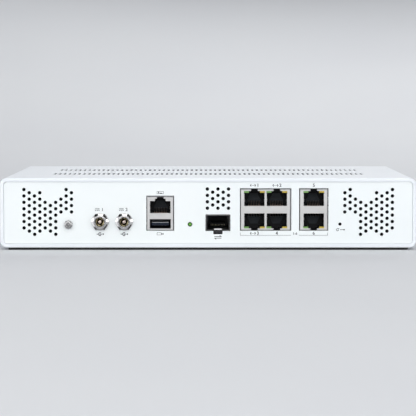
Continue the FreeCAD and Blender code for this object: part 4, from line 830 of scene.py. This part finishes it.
def wire_path(floor, up):
    """Middle line (y, z) of a contact wire: flat, a rounded bend, a long rise, and a tip that curls back."""
    slope = math.atan2(WIRE_RISE, WIRE_END - WIRE_BEND)
    steps = 6
    path = [(WIRE_START, WIRE_R)]
    for i in range(steps + 1):
        path.append(on_circle(WIRE_BEND, WIRE_R + BEND_R, BEND_R, slope * i / steps - math.pi / 2))
    for i in range(steps + 1):
        angle = (math.pi / 2 + slope) * (1 - i / steps)
        path.append(on_circle(WIRE_END, WIRE_R + WIRE_RISE - TIP_R, TIP_R, angle))
    return [(JACK_FACE + y, floor + up * z) for y, z in path]


def wire_rings(x, path, corners=8):
    """Rings of corners round a wire's middle line, which lies in the plane at x."""
    rings = []
    for i, (y, z) in enumerate(path):
        ahead, behind = path[min(i + 1, len(path) - 1)], path[max(i - 1, 0)]
        tangent = math.atan2(ahead[1] - behind[1], ahead[0] - behind[0])
        ring = []
        for k in range(corners):
            across, out = on_circle(0, 0, WIRE_R, 2 * math.pi * (k + 0.5) / corners)
            ring.append((x + across, y - out * math.sin(tangent), z + out * math.cos(tangent)))
        rings.append(ring)
    return rings


def add_usb_blades(bm):
    """Four flat blades under the USB tongue, with a raised rounded end."""
    place = MOUNTS["usb_port"]
    pitch, half, tongue_z = 2.3 * MM, 0.5 * MM, place.z - 1.2 * MM
    profile = ((2.0, 0.0), (2.2, 0.18), (2.9, 0.24), (3.6, 0.16), (9.5, 0.16), (9.5, 0.0))
    outline = [(place.y + depth * MM, tongue_z - drop * MM) for depth, drop in profile]
    for x in row(place.x, 4, pitch):
        add_slab(bm, outline, x - half, x + half)


def contact_wires():
    """Round spring wires that stand for the plain strips in the ports, and the USB blades."""
    bm = bmesh.new()
    for middle, floor, up in port_floors():
        path = wire_path(floor, up)
        for x in row(middle, WIRES, CONTACT_PITCH):
            add_tube(bm, wire_rings(x, path))
    add_usb_blades(bm)
    wires = piece("contact_wires", bm, "wire_bronze", smooth=True)
    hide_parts("port_contacts")


def contact_combs():
    """Dark ribs that keep the wires of each modular port apart, with sloping front ends."""
    bm = bmesh.new()
    profile = ((6.2, 0.0), (7.6, 0.5), (12.9, 2.2), (12.9, 0.0))
    half = 0.1 * MM
    for middle, floor, up in port_floors():
        outline = [(JACK_FACE + depth * MM, floor + up * rise * MM) for depth, rise in profile]
        for x in row(middle, WIRES + 1, CONTACT_PITCH):
            add_slab(bm, outline, x - half, x + half)
    piece("contact_combs", bm, "port_grey")


def port_backs():
    """The greyer block at the back of each modular port, narrow where the latch hook goes."""
    bm = bmesh.new()
    depth, thick = 11.9 * MM, 0.6 * MM
    right_side = ((4.6, 0.4), (4.4, 3.0), (3.0, 5.6), (2.3, 7.2))
    left_side = [(-half, z) for half, z in right_side[::-1]]
    for middle, floor, up in port_floors():
        outline = [(middle + across * MM, floor + up * z * MM) for across, z in (*right_side, *left_side)]
        add_prism(bm, outline, JACK_FACE + depth, thick)
    piece("port_backs", bm, "port_grey")


def notch_lips():
    """Black lips in the latch notches of the upper ports, in front of the shield's cut roof: painted shade
    over its lit edge.
    """
    bm = bmesh.new()
    half, height, depth, thick = 2.1 * MM, 0.75 * MM, 0.85 * MM, 0.12 * MM
    for number in ETHERNET_PORTS:
        place, upper = port_place(number)
        if upper:
            outline = box_outline(place.x - half, place.x + half, SHIELD_HIGH.z - height, SHIELD_HIGH.z)
            # painted shade: a black strip in front of the roof's edge
            add_prism(bm, outline, JACK_FACE + depth, thick)
    piece("notch_lips", bm, "black_plastic")


# ================================================================== vent screens: black mesh of painted shade
SCREEN_PITCH = 0.46 * MM
SCREEN_WIRE = 0.36 * MM
SCREEN_T = 0.2 * MM
SCREEN_DEPTH = 1.25 * MM                         # behind the panel's front plane
VENTS_TOP = 39.5 * MM
END_VENTS = (84.0 * MM, 116.5 * MM, 9.0 * MM)    # left, right and bottom of the field at the right end
BAY_VENTS = (-1.8 * MM, 14.0 * MM, 24.5 * MM)    # the same of the field above the fibre bay


def vent_screens():
    """Black mesh of flat strips behind each field of holes in the port panel: painted shade that keeps the
    holes dark.
    """
    bm = bmesh.new()
    y, half = PANEL_Y + SCREEN_DEPTH, SCREEN_WIRE / 2
    left, right, bottom = END_VENTS
    for x0, x1, z0 in ((-right, -left, bottom), END_VENTS, BAY_VENTS):
        for i in range(int((x1 - x0) / SCREEN_PITCH)):
            x = x0 + (i + 0.5) * SCREEN_PITCH
            add_prism(bm, box_outline(x - half, x + half, z0, VENTS_TOP), y, SCREEN_T)
        for i in range(int((VENTS_TOP - z0) / SCREEN_PITCH)):
            z = z0 + (i + 0.5) * SCREEN_PITCH
            add_prism(bm, box_outline(x0, x1, z - half, z + half), y + SCREEN_T, SCREEN_T)
    # near-black strips: painted shade behind the holes
    piece("vent_screens", bm, "screen_black")


# ================================================================== contacts and lips of the DC inlets
PETAL_ENTRY_R = 2.45 * MM
PETAL_WAIST_R = 1.8 * MM
PETAL_BACK_R = 2.3 * MM
PETAL_START = 1.3 * MM                           # behind the barrel's end
PETAL_LENGTH = 6.0 * MM
PETAL_T = 0.16 * MM
PETAL_FIRST, PETAL_SWEEP = 25, 80                # degrees: where the first petal starts, and how wide each is
LIP_R = 3.16 * MM
LIP_SECTION_R = 0.2 * MM
LIP_DEPTH = 0.28 * MM


def inlets():
    """(place, y of the barrel's end) of both DC inlets."""
    return [(MOUNTS[f"dc_inlet_{n}"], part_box(f"dc_jack_{n}_barrel")[0].y) for n in (1, 2)]


def petal_profile(steps=12):
    """(radius, distance behind the barrel's end) along the inside of a petal, which bows inwards."""
    profile = []
    for i in range(steps + 1):
        along = i / steps
        straight = PETAL_ENTRY_R + (PETAL_BACK_R - PETAL_ENTRY_R) * along
        bow = (PETAL_ENTRY_R - PETAL_WAIST_R) * math.sin(math.pi * math.sqrt(along))
        profile.append((straight - bow, PETAL_START + PETAL_LENGTH * along))
    return profile


def petal_skin(bm, place, tip_y, quarter, extra, steps=9):
    """Rows of corners on the inside of one petal, or on its outside when extra is its thickness."""
    first = PETAL_FIRST + 90 * quarter
    angles = [math.radians(first + PETAL_SWEEP * i / steps) for i in range(steps + 1)]
    rows = []
    for radius, depth in petal_profile():
        corners = [on_circle(place.x, place.z, radius + extra, angle) for angle in angles]
        rows.append([bm.verts.new((x, tip_y + depth, z)) for x, z in corners])
    return rows


def close_skins(bm, inner, outer):
    """Joins two grids of the same size into one closed shell."""
    last_row, last = len(inner) - 1, len(inner[0]) - 1
    for rows in (inner, outer):
        for a, b in zip(rows, rows[1:]):
            for i in range(last):
                bm.faces.new((a[i], a[i + 1], b[i + 1], b[i]))
    for k in range(last_row):
        for i in (0, last):
            bm.faces.new((inner[k][i], inner[k + 1][i], outer[k + 1][i], outer[k][i]))
    for k in (0, last_row):
        for i in range(last):
            bm.faces.new((inner[k][i], inner[k][i + 1], outer[k][i + 1], outer[k][i]))


def socket_petals():
    """Four bowed springs in each inlet that grip the plug's sleeve."""
    bm = bmesh.new()
    for place, tip_y in inlets():
        for quarter in range(4):
            close_skins(bm, *(petal_skin(bm, place, tip_y, quarter, extra) for extra in (0.0, PETAL_T)))
    petals = piece("socket_petals", bm, "sleeve_bronze", smooth=True)
    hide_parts("dc_jack_1_spring", "dc_jack_2_spring")


def inlet_lips():
    """Rolled chrome lip inside the mouth of each inlet's sleeve."""
    bm = bmesh.new()
    around, corners = 64, 12
    for place, tip_y in inlets():
        rings = []
        for i in range(around):
            ring = []
            for k in range(corners):
                radius, depth = on_circle(LIP_R, LIP_DEPTH, LIP_SECTION_R, 2 * math.pi * k / corners)
                x, z = on_circle(place.x, place.z, radius, 2 * math.pi * i / around)
                ring.append((x, tip_y + depth, z))
            rings.append(ring)
        add_tube(bm, rings, closed=True)
    piece("inlet_lips", bm, "chrome_plate", smooth=True)


# ================================================================== studio
WORLD_BASE = 0.03                                # strength of the surroundings outside the bright fields
# (axis of the direction, where the field begins, where it is full, its strength)
WORLD_FIELDS = (
    ("x", 0.72, 0.92, 1.1),
    ("x", -0.60, -0.80, 1.3),
    ("z", 0.82, 0.94, 1.2),
    ("z", -0.70, -0.95, 0.45),
    ("y", -0.75, -0.95, 0.75),
)
# the camera looks along +Y, tipped down a little; metres, degrees, and millimetres for its lens and sensor
CAMERA_X = -0.0001
CAMERA_AWAY = 1.1845                             # in front of the port panel
CAMERA_UP = 0.1039
CAMERA_TIP = 3.75
CAMERA_LENS = 164.6
SENSOR_WIDTH = 36.0


def floor_rings():
    """(radius, height) of the floor's rings: flat, then a wide bend that rises to the vertical."""
    flat, bend, steps = 0.9, 2.6, 14
    rings = [(0.3, 0.0), (flat, 0.0)]
    for step in range(1, steps + 1):
        angle = math.radians(90 * step / steps)
        rings.append((flat + bend * math.sin(angle), bend * (1 - math.cos(angle))))
    return rings


def curved_floor():
    """A pale disc that rises slowly into a bowl, so that no horizon shows from any side."""
    steps = 96
    bm = bmesh.new()
    centre = bm.verts.new((0, 0, 0))
    previous = None
    for radius, height in floor_rings():
        corners = [on_circle(0, 0, radius, 2 * math.pi * i / steps) for i in range(steps)]
        ring = [bm.verts.new((x, y, height)) for x, y in corners]
        for i in range(steps):
            j = (i + 1) % steps
            if previous is None:
                bm.faces.new((centre, ring[i], ring[j]))
            else:
                bm.faces.new((previous[i], ring[i], ring[j], previous[j]))
        previous = ring
    f = Finish("floor_pale", Roughness=0.9, Specular_IOR_Level=0.1)
    f.colour(f.mottled(f.noise(3.0, 2.0), rgb(0.70, 0.71, 0.72), rgb(0.68, 0.69, 0.705)))
    mesh = mesh_from(bm, "studio_floor", smooth=True)
    mesh.materials.append(f.material)
    floor = bpy.data.objects.new("studio_floor", mesh)
    floor.visible_glossy = False
    bpy.context.scene.collection.objects.link(floor)


def soft_light(name, place, size, power):
    """A rectangular lamp that the camera does not see, turned towards the object. Metres and watts."""
    data = bpy.data.lights.new(name, "AREA")
    data.shape = "RECTANGLE"
    data.size, data.size_y = size
    data.energy = power
    lamp = bpy.data.objects.new(name, data)
    lamp.visible_camera = False
    lamp.location = place
    target = Vector((0, 0, 0.02))
    lamp.rotation_euler = (target - lamp.location).to_track_quat("-Z", "Y").to_euler()
    bpy.context.scene.collection.objects.link(lamp)


def surroundings():
    """Dark all round with soft bright fields on every side but the back, which bare metal mirrors."""
    world = bpy.data.worlds.new("studio_world")
    world.use_nodes = True
    graph = Graph(world.node_tree)
    direction = graph.node("ShaderNodeTexCoord").outputs["Generated"]
    axes = dict(zip("xyz", graph.node("ShaderNodeSeparateXYZ", {0: direction}).outputs))
    strength = WORLD_BASE
    for axis, start, end, gain in WORLD_FIELDS:
        field = graph.spread(axes[axis], 0.0, gain, start, end, "SMOOTHSTEP")
        strength = graph.math("ADD", field, strength)
    background = graph.tree.nodes["Background"]
    background.inputs["Color"].default_value = rgb(0.93, 0.95, 1.0)
    graph.tree.links.new(strength, background.inputs["Strength"])
    bpy.context.scene.world = world


def studio():
    """The floor, six soft lamps and what metal mirrors."""
    curved_floor()
    soft_light("front", (0.0, -2.2, 0.8), (2.4, 1.0), 22.8)
    soft_light("high", (0.0, -1.25, 1.55), (1.2, 0.7), 6.5)
    soft_light("overhead", (0.0, 0.2, 1.6), (1.6, 1.0), 2.8)
    soft_light("back", (0.3, 1.6, 1.0), (1.4, 0.9), 8.5)
    soft_light("left", (-1.5, -1.0, 0.35), (1.0, 0.6), 5.5)
    soft_light("right", (1.5, -1.0, 0.25), (0.6, 0.4), 4.0)
    surroundings()
    bpy.context.scene.view_settings.view_transform = "Standard"


def camera():
    """The photograph's view of the port side."""
    data = bpy.data.cameras.new("camera")
    data.sensor_width = SENSOR_WIDTH
    data.lens = CAMERA_LENS
    data.clip_start = 0.01
    made = bpy.data.objects.new("camera", data)
    made.location = (CAMERA_X, PANEL_Y - CAMERA_AWAY, CAMERA_UP)
    made.rotation_euler = (math.radians(90 - CAMERA_TIP), 0, 0)
    bpy.context.scene.collection.objects.link(made)
    bpy.context.scene.camera = made


# ================================================================== all of it
paint_nodes()
port_marks()
inlet_marks()
socket_marks()
status_marks()
contact_wires()
contact_combs()
port_backs()
notch_lips()
vent_screens()
socket_petals()
inlet_lips()
studio()
camera()
